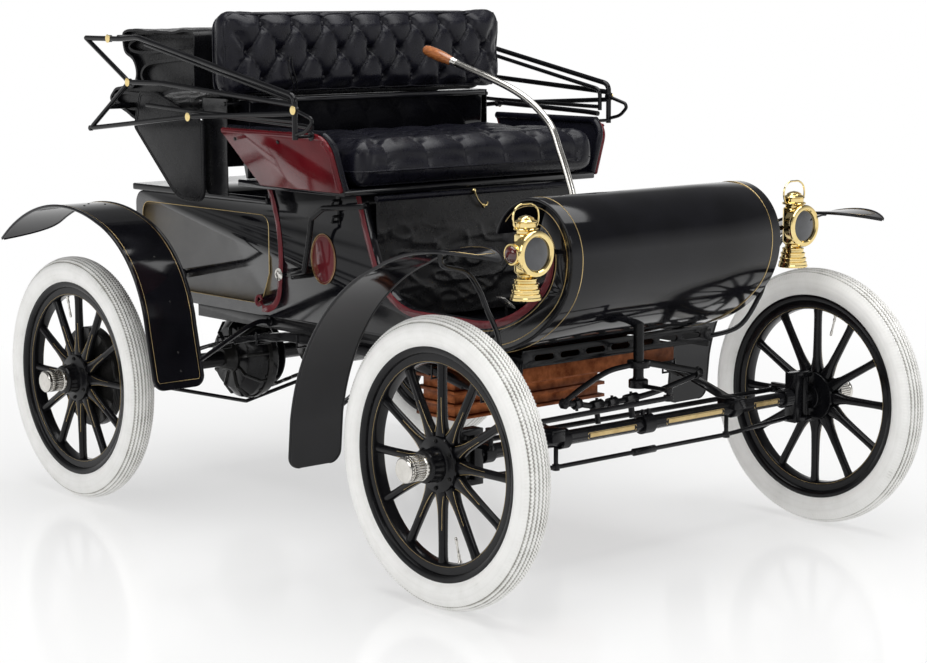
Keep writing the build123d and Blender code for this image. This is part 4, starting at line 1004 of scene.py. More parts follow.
def fender_pair(name, shares, wheel_y, tip, stays, node):
    """Both fenders of an axle: leaves on their stays, and a gilt line round each."""
    leaf, path, edges = fender_part(shares, wheel_y, *tip)
    rods = [tube(smooth_route(route, 8), 0.0068, 12) for route in stays]
    feet = [lathe(STAY_FOOT, route[0], ACROSS, 24) for route in stays]
    both_sides(name, [leaf, *rods, *feet], BLACK, "body_paint", node, angle=40.0)
    run, first = 0.0, 0
    while run <= BORDER:
        run += math.dist(path[first], path[first + 1])
        first += 1
    bend = FENDER_CORNER - BORDER
    near_line, far_line = [], []
    for i in range(first, len(path) - 7):
        y, z = path[i]
        # The line rounds the lower corners as the edge does
        left = max(0.0, FENDER_CORNER - run)
        inset = BORDER + bend - math.sqrt(max(0.0, bend ** 2 - left ** 2))
        run += math.dist(path[i], path[i + 1])
        near, far = edges(max(i, len(path) // 2), Vector((0, y, z)))
        middle = (near + far) / 2
        lift = off_wheel((y, z), path[i - 1], path[i + 1], wheel_y) * 0.0020
        near_line.append(Vector((min(near + inset, middle - 0.003), y, z)) + lift)
        far_line.append(Vector((max(far - inset, middle + 0.003), y, z)) + lift)
    line = tube(near_line + far_line[::-1], 0.0007, 5, loop=True)
    both_sides(name + "_lines", [line], GILT, "brass")


def fender_rivets(name, shares, wheel_y, rivet_places):
    """Small rivets on a fender's leaf, where its stays are fixed."""
    path = fender_path(shares, wheel_y)
    heads = []
    for share, x in rivet_places:
        i = int(share * (len(path) - 1))
        out = off_wheel(path[i], path[i], path[i + 1], wheel_y)
        heads.append(lathe(RIVET, Vector((x, *path[i])) + out * 0.0016, out, 14))
    both_sides(name, heads, IRON, "cast_iron")


fender_pair(
    "front_fender_leaves", FRONT_SHARES, -AXLE_Y, (0.704, 0.230, 2.6),
    (
        [(0.3513, -0.720, 0.552), (0.440, -0.770, 0.580), (0.487, -0.800, 0.659), (0.520, -0.800, 0.720),
         (0.546, -0.800, 0.772), (0.588, -0.800, 0.820), (0.661, -0.800, 0.841), (0.672, -0.800, 0.874)],
        [(0.3513, -0.345, 0.552), (0.420, -0.345, 0.548), (0.626, -0.341, 0.430)],
    ),
    "front_fenders",
)
fender_pair(
    "rear_fender_leaves", REAR_SHARES, AXLE_Y, (0.7835, 0.105, 4.0),
    (
        [(0.3513, 0.345, 0.552), (0.420, 0.345, 0.548), (0.626, 0.312, 0.470)],
        [(0.3853, 0.740, 0.660), (0.560, 0.745, 0.820), (0.626, 0.745, 0.884)],
    ),
    "rear_fenders",
)
fender_rivets("rear_fender_rivets", REAR_SHARES, AXLE_Y, RIVET_PLACES)

# The flat bracket under each front fender, its bolts and the stay's hooked end
BRACKET_Y, BRACKET_Z = -0.800, 0.8782
BRACKET_BOLT = ((0.0, 0.0), (0.0068, 0.0), (0.0068, -0.0055), (0.0050, -0.0070), (0.0, -0.0072))
HOOK = ((0.640, -0.004), (0.652, -0.018), (0.668, -0.020), (0.674, -0.010))
brackets = [tube([(x, BRACKET_Y, BRACKET_Z) for x in (0.630, 0.776)], 0.0090, 4, 0.30, wide=ALONG)]
brackets += [
    lathe(BRACKET_BOLT, (x, BRACKET_Y, BRACKET_Z - 0.0022), UP, 6) for x in (0.645, 0.672, 0.706, 0.762)
]
brackets.append(tube(smooth_route([(x, BRACKET_Y, BRACKET_Z + dz) for x, dz in HOOK], 5), 0.0034, 8))
both_sides("fender_brackets", brackets, IRON_BAR, "body_paint")


# Tiller: black post, nickel lever, turned grip
POST = Vector((0, -0.815, 0.472))
ARM_EYE = Vector((0, -0.925, 0.472))
GRIP_FOOT = Vector((0, -0.071, 1.306))
GRIP_WAY = (0, 1, 0.27)
LEVER = (
    (-0.815, 0.676), (-0.800, 0.735), (-0.7443, 0.7886), (-0.5993, 0.8748), (-0.5546, 0.9795),
    (-0.5137, 1.0688), (-0.4616, 1.1551), (-0.3314, 1.2315),
)
POST_TURNED = (
    (0.0, -0.006), (0.0255, -0.006), (0.026, -0.004), (0.026, 0.014), (0.0240, 0.016), (0.016, 0.018),
    (0.014, 0.024), (0.014, 0.212), (0.0125, 0.2175), (0.0, 0.218),
)
EYE_BOSS = ((0.0, -0.0055), (0.0105, -0.006), (0.011, -0.005), (0.011, 0.005), (0.0105, 0.006), (0.0, 0.006))
EYE_STUD = ((0.0, -0.0270), (0.0055, -0.0270), (0.006, -0.026), (0.006, 0.0), (0.0, 0.0))
FERRULE = (
    (0.0, -0.016), (0.0104, -0.016), (0.0112, -0.014), (0.0112, -0.002), (0.0126, 0.0), (0.0126, 0.004),
    (0.0110, 0.0045), (0.0, 0.0045),
)
GRIP_TURNED = (
    (0.0, 0.0050), (0.0120, 0.0052), (0.0127, 0.0100), (0.0140, 0.024), (0.0160, 0.046), (0.0169, 0.068),
    (0.0168, 0.086), (0.0160, 0.104), (0.0150, 0.116), (0.0128, 0.1245), (0.0080, 0.1275), (0.0, 0.1280),
)
post = [
    lathe(POST_TURNED, POST, UP, 32),
    tube([POST, ARM_EYE], 0.0098, 16, 0.6, wide=ACROSS),
    lathe(EYE_BOSS, ARM_EYE, UP, 24),
    lathe(EYE_STUD, ARM_EYE, UP, 16),
]
mount(joined("tiller_post", post, ENAMEL), "tiller", "chassis_enamel", "tiller")
lever = tube(smooth_route([*on_side(LEVER, 0), GRIP_FOOT], 10), 0.0098, 20)
mount(new_piece("tiller_lever", *lever, NICKEL, 60.0), "tiller", "nickel")
ferrule = lathe(FERRULE, GRIP_FOOT, GRIP_WAY, 32)
mount(new_piece("tiller_ferrule", *ferrule, NICKEL, 40.0), "tiller", "nickel")
grip = lathe(GRIP_TURNED, GRIP_FOOT, GRIP_WAY, 40)
mount(new_piece("tiller_grip_turned", *grip, GRIP, 60.0), "tiller", "grip_wood", "tiller_grip")

# Top irons: oval bars joined by turned knobs
IRON_X = 0.586
STANDARD = (0.5312, -0.105, 1.120)
KNOBS = ((-0.105, 1.191), (0.394, 1.155), (0.705, 1.245), (0.806, 1.3705))
EYES = ((0.937, 1.371), (0.924, 1.102))
IRON_ROUTES = (
    ([(-0.105, 1.112), (-0.105, 1.228), (0.656, 1.376), (0.752, 1.370), (0.937, 1.371)], 0.0078),
    ([(0.937, 1.371), (0.705, 1.245), (0.924, 1.102), (0.394, 1.155)], 0.0072),
    ([(0.394, 1.155), (-0.105, 1.182)], 0.0072),
    ([(-0.105, 1.204), (0.536, 1.246), (0.705, 1.245)], 0.0078),
    ([(-0.105, 1.191), (-0.176, 1.172), (-0.181, 1.160), (-0.155, 1.136), (-0.105, 1.125)], 0.0052),
)
INNER_IRONS = (
    ((0.640, 1.356), (-0.085, 1.212), (-0.085, 1.150)),
    ((0.640, 1.180), (0.380, 1.168), (-0.085, 1.160)),
)
IRON_EYE = ((0.0, -0.006), (0.007, -0.006), (0.0085, -0.0045), (0.0085, 0.0045), (0.007, 0.006), (0.0, 0.006))
IRON_KNOB = (
    (0.0, -0.0075), (0.0085, -0.0075), (0.0105, -0.006), (0.0105, 0.0055), (0.009, 0.0065), (0.0, 0.0065)
)
STANDARD_FOOT = ((0.0, 0.0), (0.012, 0.0), (0.013, 0.001), (0.013, 0.003), (0.008, 0.005), (0.0, 0.005))
BRASS_KNOB = (
    (0.0, 0.0060), (0.0105, 0.0062), (0.0118, 0.0066), (0.0124, 0.0070), (0.0124, 0.0074),
    (0.0112, 0.0079), (0.0, 0.0080),
)
irons = [tube(bent_route(on_side(line, IRON_X - 0.017), 0.02), 0.0062, 12) for line in INNER_IRONS]
for line, thick in IRON_ROUTES:
    irons.append(tube(bent_route(on_side(line, IRON_X), 0.022), thick, 14))
    irons += [lathe(IRON_EYE, (IRON_X, *place), ACROSS, 20) for place in line[1:-1] if place in EYES]
irons += [lathe(IRON_KNOB, (IRON_X, *place), ACROSS, 24) for place in KNOBS]
irons.append(tube([STANDARD, (IRON_X, *STANDARD[1:])], 0.0050, 12))
irons.append(lathe(STANDARD_FOOT, STANDARD, ACROSS, 20))
both_sides("top_iron_bars", irons, IRON_BAR, "chassis_enamel", "top_irons")
knobs = [lathe(BRASS_KNOB, (IRON_X, *place), ACROSS, 32) for place in KNOBS]
both_sides("brass_knobs", knobs, BRASS, "brass")
bow_bars = [tube([(-IRON_X, y, z), (IRON_X, y, z)], 0.009, 16) for y, z in ((0.760, 1.3728), (0.818, 1.171))]
on_chassis("top_bow_bars", bow_bars, ENAMEL, "chassis_enamel")


# Lamps: stepped font, round body, hooded chimney, lens, jewel and bail
LAMP = Vector((0.495, -0.915, 0.755))
LAMP_EYE = Vector((0.495, -0.960, 0.870))
JEWEL_FOOT = Vector((0.519, -0.918, 0.870))
FONT = (
    (0.0, 0.0), (0.0385, 0.0), (0.0398, 0.0015), (0.0398, 0.0060), (0.0385, 0.0078), (0.0378, 0.0150),
    (0.0350, 0.0170), (0.0350, 0.0210), (0.0362, 0.0222), (0.0362, 0.0260), (0.0325, 0.0285),
    (0.0318, 0.0350), (0.0332, 0.0362), (0.0332, 0.0396), (0.0290, 0.0420), (0.0282, 0.0480),
    (0.0296, 0.0494), (0.0296, 0.0522), (0.0235, 0.0545), (0.0215, 0.0580), (0.0225, 0.0620),
    (0.0285, 0.0680), (0.0297, 0.0720), (0.0297, 0.1580), (0.0285, 0.1615), (0.0240, 0.1640),
    (0.0235, 0.1690), (0.0318, 0.1725), (0.0325, 0.1745), (0.0318, 0.1765), (0.0262, 0.1790),
    (0.0258, 0.1880), (0.0292, 0.1900), (0.0296, 0.1918), (0.0285, 0.1935), (0.0205, 0.1975),
    (0.0195, 0.2010), (0.0110, 0.2055), (0.0, 0.2080),
)
BARREL = (
    (0.0, 0.0450), (0.0400, 0.0450), (0.0470, 0.0400), (0.0490, 0.0330), (0.0490, 0.0155),
    (0.0555, 0.0135), (0.0568, 0.0115), (0.0568, 0.0060), (0.0550, 0.0030), (0.0500, 0.0008),
    (0.0450, 0.0010), (0.0420, 0.0040), (0.0412, 0.0080), (0.0, 0.0082),
)
JEWEL_CONE = (
    (0.0, 0.0), (0.0330, 0.0), (0.0320, 0.0040), (0.0250, 0.0180), (0.0262, 0.0200), (0.0268, 0.0240),
    (0.0262, 0.0275), (0.0225, 0.0285), (0.0215, 0.0270), (0.0, 0.0265),
)
LAMP_GLASS = (
    (0.0, 0.0085), (0.0410, 0.0082), (0.0405, 0.0068), (0.0300, 0.0045), (0.0160, 0.0030), (0.0, 0.0025)
)
JEWEL_GLASS = (
    (0.0, 0.0260), (0.0212, 0.0262), (0.0200, 0.0300), (0.0150, 0.0340), (0.0080, 0.0362), (0.0, 0.0368)
)
# Half the bail, as x from the lamp's middle and z
BAIL = (
    (0.030, 0.9300), (0.0380, 0.9380), (0.0425, 0.9560), (0.0370, 0.9760), (0.0200, 0.9880), (0.0, 0.9895)
)
bail = [(LAMP.x + dx, LAMP.y, z) for dx, z in (*BAIL, *[(-dx, z) for dx, z in BAIL[-2::-1]])]
lamp = [
    lathe(FONT, LAMP, UP, 56),
    lathe(BARREL, LAMP_EYE, ALONG, 64),
    lathe(JEWEL_CONE, JEWEL_FOOT, ACROSS, 40),
    tube(smooth_route(bail, 5), 0.0024, 10),
    tube([(LAMP.x - 0.0295, -0.900, 0.864), (LAMP.x - 0.038, -0.900, 0.864)], 0.0058, 12),
]
both_sides("lamp_bodies", lamp, BRASS, "brass", "lamps", angle=30.0)
both_sides("lamp_lenses", [lathe(LAMP_GLASS, LAMP_EYE, ALONG, 48)], LENS, "brass")
both_sides("lamp_jewels", [lathe(JEWEL_GLASS, JEWEL_FOOT, ACROSS, 32)], RED_LENS, "brass")

# Apron: a hung leather curtain with creases, under a rolled leather edge
APRON_HALF, APRON_BOTTOM, APRON_TOP = 0.362, 0.606, 0.947
APRON_FACE, APRON_THICK = -0.1695, 0.0018
CREASE_DEPTH, RIDGE_HEIGHT = 0.0060, 0.0052


def apron_crease(x, z):
    """Broad soft creasing of hung leather, about -1 to 1."""
    crease = noise.noise(Vector((x * 5, z * 9 + x * 4, 1.3))) * 0.5
    crease += noise.noise(Vector((x * 14, z * 20, 4.1))) * 0.3
    return crease - 0.9 * abs(noise.noise(Vector((x * 3.1 + z * 2.0, z * 7.5 - x * 1.5, 8.7)))) ** 0.5


def apron_ridge(x, z):
    """Sharp ridges where the leather has been folded, mostly level ones."""
    level = noise.noise(Vector((x * 4.0 + z * 6.0, z * 15.0 - x * 3.5, 2.2)))
    slanted = noise.noise(Vector((x * 9.0 - z * 8.0, z * 22.0 + x * 7.0, 6.2)))
    return max(0.0, 1 - 3.2 * abs(level)) ** 2 + 0.8 * max(0.0, 1 - 3.5 * abs(slanted)) ** 2


columns, rows = 160, 80
points, faces = [], []
for back in (0, 1):
    for r in range(rows + 1):
        calm = math.sin(math.pi * min(1, r / rows * 1.1 + 0.1))
        for c in range(columns + 1):
            x = -APRON_HALF + 2 * APRON_HALF * c / columns
            z = APRON_BOTTOM + (APRON_TOP - APRON_BOTTOM) * r / rows
            fold = (CREASE_DEPTH * apron_crease(x, z) - RIDGE_HEIGHT * apron_ridge(x, z)) * calm
            points.append((x, APRON_FACE + fold + APRON_THICK * back, z))
span = columns + 1
layer = span * (rows + 1)
for r in range(rows):
    for c in range(columns):
        a = r * span + c
        faces.append((a, a + 1, a + 1 + span, a + span))
        faces.append((a + layer, a + span + layer, a + 1 + span + layer, a + 1 + layer))
for c in range(columns):
    faces.append((c, c + layer, c + 1 + layer, c + 1))
    top_row = rows * span + c
    faces.append((top_row, top_row + 1, top_row + 1 + layer, top_row + layer))
for r in range(rows):
    a, b = r * span, r * span + columns
    faces.append((a, a + span, a + span + layer, a + layer))
    faces.append((b, b + layer, b + span + layer, b + span))
on_chassis("apron_leather", [(points, faces)], APRON_HIDE, "black_leather", "apron", angle=50.0)
roll = tube([(x, -0.168, 0.9445) for x in np.linspace(-APRON_HALF, APRON_HALF, 60)], 0.0085, 14)
on_chassis("apron_roll", [roll], SEAT_HIDE, "black_leather")
LATCH_STUD = ((0.0, 0.0), (0.006, 0.0), (0.0066, 0.001), (0.0066, 0.003), (0.004, 0.0045), (0.0, 0.005))
LATCH_HOOK = (
    (-0.018, -0.181, 0.948), (-0.012, -0.183, 0.932), (-0.003, -0.183, 0.918), (0.017, -0.181, 0.903),
    (0.028, -0.182, 0.906), (0.030, -0.182, 0.914),
)
latch = [lathe(LATCH_STUD, (x, -0.1775, z), (0, -1, 0), 20) for x, z in ((-0.018, 0.948), (0.017, 0.903))]
latch.append(tube(smooth_route(LATCH_HOOK, 5), 0.0022, 8))
on_chassis("apron_latch", latch, BRASS, "brass")


# Padded leather
VOXEL = 0.0082
SWELL_PRESSURE = 2.2
SWELL_STEPS = 18
CREASE_SHARPNESS = 0.26


def pillow_start(low, high, corner, shrink):
    """A rounded block, a little smaller than the cushion, for the cloth to swell from."""
    shape = bmesh.new()
    bmesh.ops.create_cube(shape, size=1.0)
    centre = (low + high) / 2
    size = (high - low) - Vector(shrink) * 2
    for vertex in shape.verts:
        vertex.co = Vector((vertex.co.x * size.x, vertex.co.y * size.y, vertex.co.z * size.z)) + centre
    mesh = bpy.data.meshes.new("pillow")
    shape.to_mesh(mesh)
    shape.free()
    obj = bpy.data.objects.new("pillow", mesh)
    bpy.context.scene.collection.objects.link(obj)
    bevel = obj.modifiers.new("round", "BEVEL")
    bevel.width = corner
    bevel.segments = 5
    remesh = obj.modifiers.new("even", "REMESH")
    remesh.mode = "VOXEL"
    remesh.voxel_size = VOXEL
    return settle(obj)


def swell(obj, cap, held):
    """Blow leather up as cloth, hold the places where held(point) is true, and cap how far it moves."""
    rest = np.array([v.co for v in obj.data.vertices])
    group = obj.vertex_groups.new(name="held")
    fixed = [i for i, p in enumerate(rest) if held(p)]
    if fixed:
        group.add(fixed, 1.0, "REPLACE")
    cloth = obj.modifiers.new("leather", "CLOTH")
    cloth.settings.use_pressure = True
    cloth.settings.uniform_pressure_force = SWELL_PRESSURE
    cloth.settings.quality = 4
    cloth.settings.effector_weights.gravity = 0
    cloth.settings.tension_stiffness = 25
    cloth.settings.compression_stiffness = 25
    cloth.settings.bending_stiffness = 4
    cloth.settings.vertex_group_mass = "held"
    cloth.collision_settings.use_collision = False
    scene = bpy.context.scene
    for step in range(1, SWELL_STEPS + 1):
        scene.frame_set(step)
    settle(obj)
    moved = np.array([v.co for v in obj.data.vertices])
    shift = moved - rest
    length = np.linalg.norm(shift, axis=1, keepdims=True)
    shift *= np.minimum(1.0, cap / np.maximum(length, 1e-9))
    obj.data.vertices.foreach_set("co", (rest + shift).astype(np.float32).ravel())
    scene.frame_set(1)
    return obj


def finer(obj):
    """Divide a cushion's mesh once, smoothly, before its creases go in."""
    smooth = obj.modifiers.new("finer", "SUBSURF")
    smooth.levels = smooth.render_levels = 1
    return settle(obj)


def diamonds(u, v, pitch, row_gap, rows, offset):
    """How full the leather stands at (u, v): 0 on the creases and buttons, 1 amid a diamond.
    Buttons lie on rows at v = 0, -row_gap, ...; odd rows are shifted by half the pitch."""
    a = (u - offset) / pitch * 2
    b = np.clip(-v, 0, (rows - 1) * row_gap) / row_gap
    return np.abs(np.sin(math.pi / 2 * (a + b)) * np.sin(math.pi / 2 * (a - b)))


def tuft(obj, facing, u_axis, v_axis, depth, sink, reach, edge_calm, v_top, pitch, row_gap, rows, offset):
    """Press creases and buttons into the face of a cushion that looks along facing."""
    count = len(obj.data.vertices)
    co, normals = np.zeros(count * 3, np.float32), np.zeros(count * 3, np.float32)
    obj.data.vertices.foreach_get("co", co)
    obj.data.vertex_normals.foreach_get("vector", normals)
    co, normals = (flat.reshape(-1, 3).astype(float) for flat in (co, normals))
    facing = np.array(facing, float)
    face = np.clip((normals @ facing - 0.15) / 0.55, 0, 1)
    face = face * face * (3 - 2 * face)
    u, v = co @ np.array(u_axis, float), co @ np.array(v_axis, float) - v_top
    calm = edge_calm(u, v)
    crease = 1 - diamonds(u, v, pitch, row_gap, rows, offset) ** CREASE_SHARPNESS
    index = np.clip(np.round(-v / row_gap), 0, rows - 1)
    shift = np.where(index % 2 == 1, pitch / 2, 0.0) + offset
    along_row = (u - shift) / pitch
    near = np.hypot((along_row - np.round(along_row)) * pitch, v + index * row_gap)
    pull = depth * crease * calm + sink * np.exp(-(near / reach) ** 2) * calm
    co -= facing * (pull * face)[:, None]
    obj.data.vertices.foreach_set("co", co.astype(np.float32).ravel())
    obj.data.update()


def button_places(half_width, v_top, pitch, row_gap, rows, offset):
    """Where the buttons lie, as (along the cushion, across its rows), within half_width of the middle."""
    places = []
    for row in range(rows):
        shift = offset + (pitch / 2 if row % 2 else 0.0)
        first = math.ceil((-half_width - shift) / pitch)
        places += [
            (shift + k * pitch, v_top - row * row_gap)
            for k in range(first, int((half_width - shift) // pitch) + 1)
        ]
    return places


def surface_at(obj, start, way):
    """Where a line from start along way first meets a piece."""
    hit, place, _, _ = obj.ray_cast(Vector(start), Vector(way))
    return place if hit else Vector(start)


def seam(obj, middle, way, reach, radius):
    """Piping round a cushion: rays to its middle, turned about way, find where the cord lies."""
    first, second = across(way)
    middle = Vector(middle)
    route = []
    for t in (2 * math.pi * k / 160 for k in range(160)):
        far = middle + (first * math.cos(t) * reach[0] + second * math.sin(t) * reach[1]) * 1.6
        route.append(surface_at(obj, far, (middle - far).normalized()))
    return tube(route, radius, 8, loop=True)


def finished_cushion(obj, name, node):
    """Name a tufted cushion and give it its leather, its smooth shading and its place."""
    obj.name = name
    dress(obj, SEAT_HIDE, 70.0)
    mount(obj, "chassis", "black_leather", node)


# Back cushion
BACK_LOW, BACK_HIGH = Vector((-0.528, 0.290, 1.205)), Vector((0.528, 0.390, 1.460))
BACK_GRID = {"v_top": 1.4115, "pitch": 0.1110, "row_gap": 0.0765, "rows": 3, "offset": 0.0555}
back = pillow_start(BACK_LOW, BACK_HIGH, 0.044, (0.005, 0.007, 0.006))
swell(back, 0.007, lambda p: p[1] > 0.375)
finer(back)
tuft(
    back, facing=(0, -1, 0), u_axis=ACROSS, v_axis=UP, depth=0.016, sink=0.017, reach=0.015,
    edge_calm=lambda u, v: np.clip((0.512 - np.abs(u)) / 0.05, 0, 1) * np.clip((v + 0.195) / 0.02, 0, 1),
    **BACK_GRID,
)
finished_cushion(back, "back_cushion_tufted", "back_cushion")
places = [surface_at(back, (x, 0.20, z), ALONG) for x, z in button_places(0.475, **BACK_GRID)]
buttons = spots("back_cushion_buttons", places, 0.0092, 0.0052, (0, -1, 0), SEAT_HIDE)
mount(buttons, "chassis", "black_leather")
piping = [seam(back, (0, y, 1.3325), ALONG, (0.30, 0.60), 0.0032) for y in (0.322, 0.366)]
on_chassis("back_cushion_piping", piping, SEAT_HIDE, "black_leather", angle=60.0)
# The cord's x, how far its two strands spread there, y and z
CORD = (
    (-0.314, 1, 0.276, 1.322), (-0.322, 2, 0.268, 1.290), (-0.306, 2, 0.270, 1.245), (-0.296, 1, 0.282, 1.214)
)
cord = [
    tube(smooth_route([(x + spread * dx, y, z) for x, spread, y, z in CORD], 8), 0.0022, 8)
    for dx in (-0.003, 0.004)
]
on_chassis("curtain_cord", cord, TOP_HIDE, "top_leather", angle=60.0)
BACKING_HALF, BACKING_LOW, BACKING_HIGH, BACKING_CORNER = 0.508, 1.2055, 1.440, 0.050
backing_rings = []
for y, inset in ((0.3835, 0.004), (0.3845, 0.0), (0.3885, 0.0), (0.3895, 0.004)):
    half, low, high = BACKING_HALF - inset, BACKING_LOW + inset, BACKING_HIGH - inset
    edge = [(x, y, z) for x, z in ((-half, low), (half, low), (half, high), (-half, high))]
    backing_rings.append(bent_route([*edge, *edge[:2]], BACKING_CORNER - inset)[1:-1])
on_chassis("back_cushion_backing", [loft(backing_rings)], SEAT_HIDE, "black_leather", angle=40.0)

# Seat cushion
SEAT_LOW, SEAT_HIGH = Vector((-0.448, -0.205, 0.9757)), Vector((0.448, 0.305, 1.108))
SEAT_GRID = {"v_top": 0.200, "pitch": 0.1410, "row_gap": 0.1150, "rows": 4, "offset": 0.013}
seat = pillow_start(SEAT_LOW, SEAT_HIGH, 0.040, (0.004, 0.005, 0.006))
swell(seat, 0.008, lambda p: p[2] < 1.005)
finer(seat)
tuft(
    seat, facing=(0, -0.42, 0.91), u_axis=ACROSS, v_axis=ALONG, depth=0.0105, sink=0.014, reach=0.017,
    edge_calm=lambda u, v: np.clip((0.440 - np.abs(u)) / 0.04, 0, 1), **SEAT_GRID,
)
finished_cushion(seat, "seat_cushion_tufted", "seat_cushion")
places = [surface_at(seat, (x, y, 1.25), (0, 0, -1)) for x, y in button_places(0.42, **SEAT_GRID)]
buttons = spots("seat_cushion_buttons", places, 0.0088, 0.0048, UP, SEAT_HIDE)
mount(buttons, "chassis", "black_leather")
SEAT_PIPING = ((1.022, 0.0030), (0.983, 0.0026))
piping = [seam(seat, (0, 0.05, z), UP, (0.50, 0.30), radius) for z, radius in SEAT_PIPING]
on_chassis("seat_cushion_piping", piping, SEAT_HIDE, "black_leather", angle=60.0)

# Leather rolls and linings inside the seat's sides; beads, bolts and rails outside
LEAN = math.radians(17)
SIDE_FOOT = Vector((0.4703, 0, 0.968))


def on_seat_side(y, height, inset):
    """A point of the left seat side: how far up the board, and how far in from its inner face."""
    up, inward = Vector((math.sin(LEAN), 0, math.cos(LEAN))), Vector((-math.cos(LEAN), 0, math.sin(LEAN)))
    return SIDE_FOOT + Vector((0, y, 0)) + up * height + inward * inset


# Along the seat and up the board
ROLL_LINE = (
    (-0.160, 0.004), (-0.160, 0.104),
    *[(-0.104 - 0.056 * math.cos(t), 0.104 + 0.056 * math.sin(t)) for t in np.linspace(0.2, 1.5, 8)],
    (-0.100, 0.160), (0.310, 0.160),
)
BEAD_LINE = ((-0.157, 0.012), (-0.157, 0.100), (-0.140, 0.140), (-0.100, 0.156), (0.318, 0.158))
SIDE_BOLT = ((0.0, 0.0), (0.005, 0.0), (0.0055, 0.001), (0.0045, 0.0035), (0.0, 0.0045))
lining = [[on_seat_side(y, h, inset) for y, h in (*ROLL_LINE, (0.205, 0.004))] for inset in (0.001, 0.009)]
rolls = [tube(smooth_route([on_seat_side(y, h, 0.009) for y, h in ROLL_LINE], 4), 0.0105, 14), loft(lining)]
both_sides("seat_side_rolls", rolls, SEAT_HIDE, "black_leather", angle=40.0)
bead = tube(smooth_route([on_seat_side(y, h, -0.0125) for y, h in BEAD_LINE], 6), 0.0030, 8)
both_sides("seat_side_beads", [bead], CHERRY, "burgundy_paint")
outward = (math.cos(LEAN), 0, -math.sin(LEAN))
bolts = [lathe(SIDE_BOLT, on_seat_side(y, 0.138, -0.0122), outward, 14) for y in (0.262, 0.060)]
both_sides("seat_side_bolts", bolts, IRON, "cast_iron")
ARM_RAIL = ((0.306, 1.160), (-0.060, 1.146), (-0.112, 1.142))
arm_rail = tube(bent_route(on_side(ARM_RAIL, 0.535), 0.02), 0.0075, 12)
both_sides("arm_rails", [arm_rail], IRON_BAR, "chassis_enamel")


# Folded top: one long leather sheet round a dark core, with inner folds that show at its ends
def let_in(line, depth):
    """A closed line moved inwards by depth."""
    count = len(line)
    moved = []
    for i, place in enumerate(line):
        along = (line[(i + 1) % count] - line[i - 1]).normalized()
        moved.append(place + Vector((along.y, -along.x)) * depth)
    return moved


def rippled(line, x, sag):
    """A (y, z) line at station x, moved by the leather's own waves."""
    ring = []
    for place in line:
        wave = noise.noise(Vector((x * 3.0, place.x * 11, place.y * 11)))
        wave += 0.5 * noise.noise(Vector((x * 8.0, place.x * 24, place.y * 24 + 5)))
        fine = noise.noise(Vector((x * 20.0, place.x * 40 + 3, place.y * 40)))
        ring.append((x, place.x + (0.5 * wave + 0.2 * fine) * sag, place.y + (wave + 0.25 * fine) * sag))
    return ring


TOP_HALF = 0.5195
TOP_WAVE = 0.0065
FOLD_HALF = 0.0042
FOLD_ENDS = ((-TOP_HALF + 0.001, -TOP_HALF + 0.03), (TOP_HALF - 0.03, TOP_HALF - 0.001))
TOP_OUTLINE = (
    (0.466, 1.225), (0.463, 1.310), (0.466, 1.394), (0.600, 1.399), (0.740, 1.399), (0.828, 1.397),
    (0.846, 1.368), (0.832, 1.326), (0.790, 1.302), (0.772, 1.264), (0.800, 1.236), (0.850, 1.230),
    (0.894, 1.224), (0.921, 1.196), (0.906, 1.170), (0.830, 1.146), (0.770, 1.130), (0.700, 1.160),
    (0.620, 1.200), (0.540, 1.218),
)
FOLD_LINES = (
    ((0.470, 1.378), (0.640, 1.376), (0.760, 1.368), (0.806, 1.350), (0.784, 1.333), (0.700, 1.330),
     (0.560, 1.344), (0.472, 1.352)),
    ((0.472, 1.318), (0.600, 1.308), (0.706, 1.296), (0.744, 1.266), (0.716, 1.238), (0.610, 1.232),
     (0.480, 1.240)),
    ((0.640, 1.204), (0.760, 1.206), (0.850, 1.208), (0.896, 1.196), (0.872, 1.176), (0.800, 1.162),
     (0.730, 1.166)),
)
outline = closed_route(TOP_OUTLINE, 7)
stations = np.linspace(-TOP_HALF, TOP_HALF, 90)
shell = [rippled(let_in(outline, 0.003), x, TOP_WAVE) for x in stations]
shell += [rippled(let_in(outline, 0.011), x, TOP_WAVE) for x in stations[::-1]]
core_line, core_end = let_in(outline, 0.009), TOP_HALF - 0.016
core = [rippled(core_line, x, TOP_WAVE) for x in np.linspace(-core_end, core_end, 24)]
sheets = [loft(shell, loop=True), loft(core)]
for line in FOLD_LINES:
    route = smooth_route(on_side(line, 0), 7)
    sides = []
    for i in range(len(route)):
        along = direction_at(route, i)
        sides.append(Vector((0, along.z, -along.y)) * FOLD_HALF)
    edge = [p + side for p, side in zip(route, sides)] + [p - side for p, side in zip(route, sides)][::-1]
    for start, end in FOLD_ENDS:
        sheets.append(loft([[(x, p.y, p.z) for p in edge] for x in np.linspace(start, end, 4)]))
on_chassis("folded_top_leather", sheets, TOP_HIDE, "top_leather", "folded_top", angle=55.0)

# Side flaps: a rounded leaf of leather with piping round its edge
FLAP = ((0.650, 1.215), (0.745, 1.215), (0.779, 1.110), (0.553, 0.905), (0.414, 0.905), (0.414, 1.136))
FLAP_CORNERS = (0.012, 0.012, 0.050, 0.050, 0.012, 0.012)
FLAP_LEAF = ((0.5206, 0.0035), (0.5206, 0.0), (0.5272, 0.0), (0.5280, 0.0035))


def flap_line(x, inset):
    """The flap's edge with its two lower corners well rounded, let in by inset."""
    points = [Vector((x, y, z)) for y, z in FLAP]
    middle = sum(points, Vector()) / len(points)
    corners = [*points, *points[:2]]
    line = []
    for before, corner, after, size in zip(corners, corners[1:], corners[2:], FLAP_CORNERS):
        line += bent_route([before, corner, after], size)[1:-1]
    return [middle + (p - middle) * (1 - inset / (p - middle).length) for p in line]


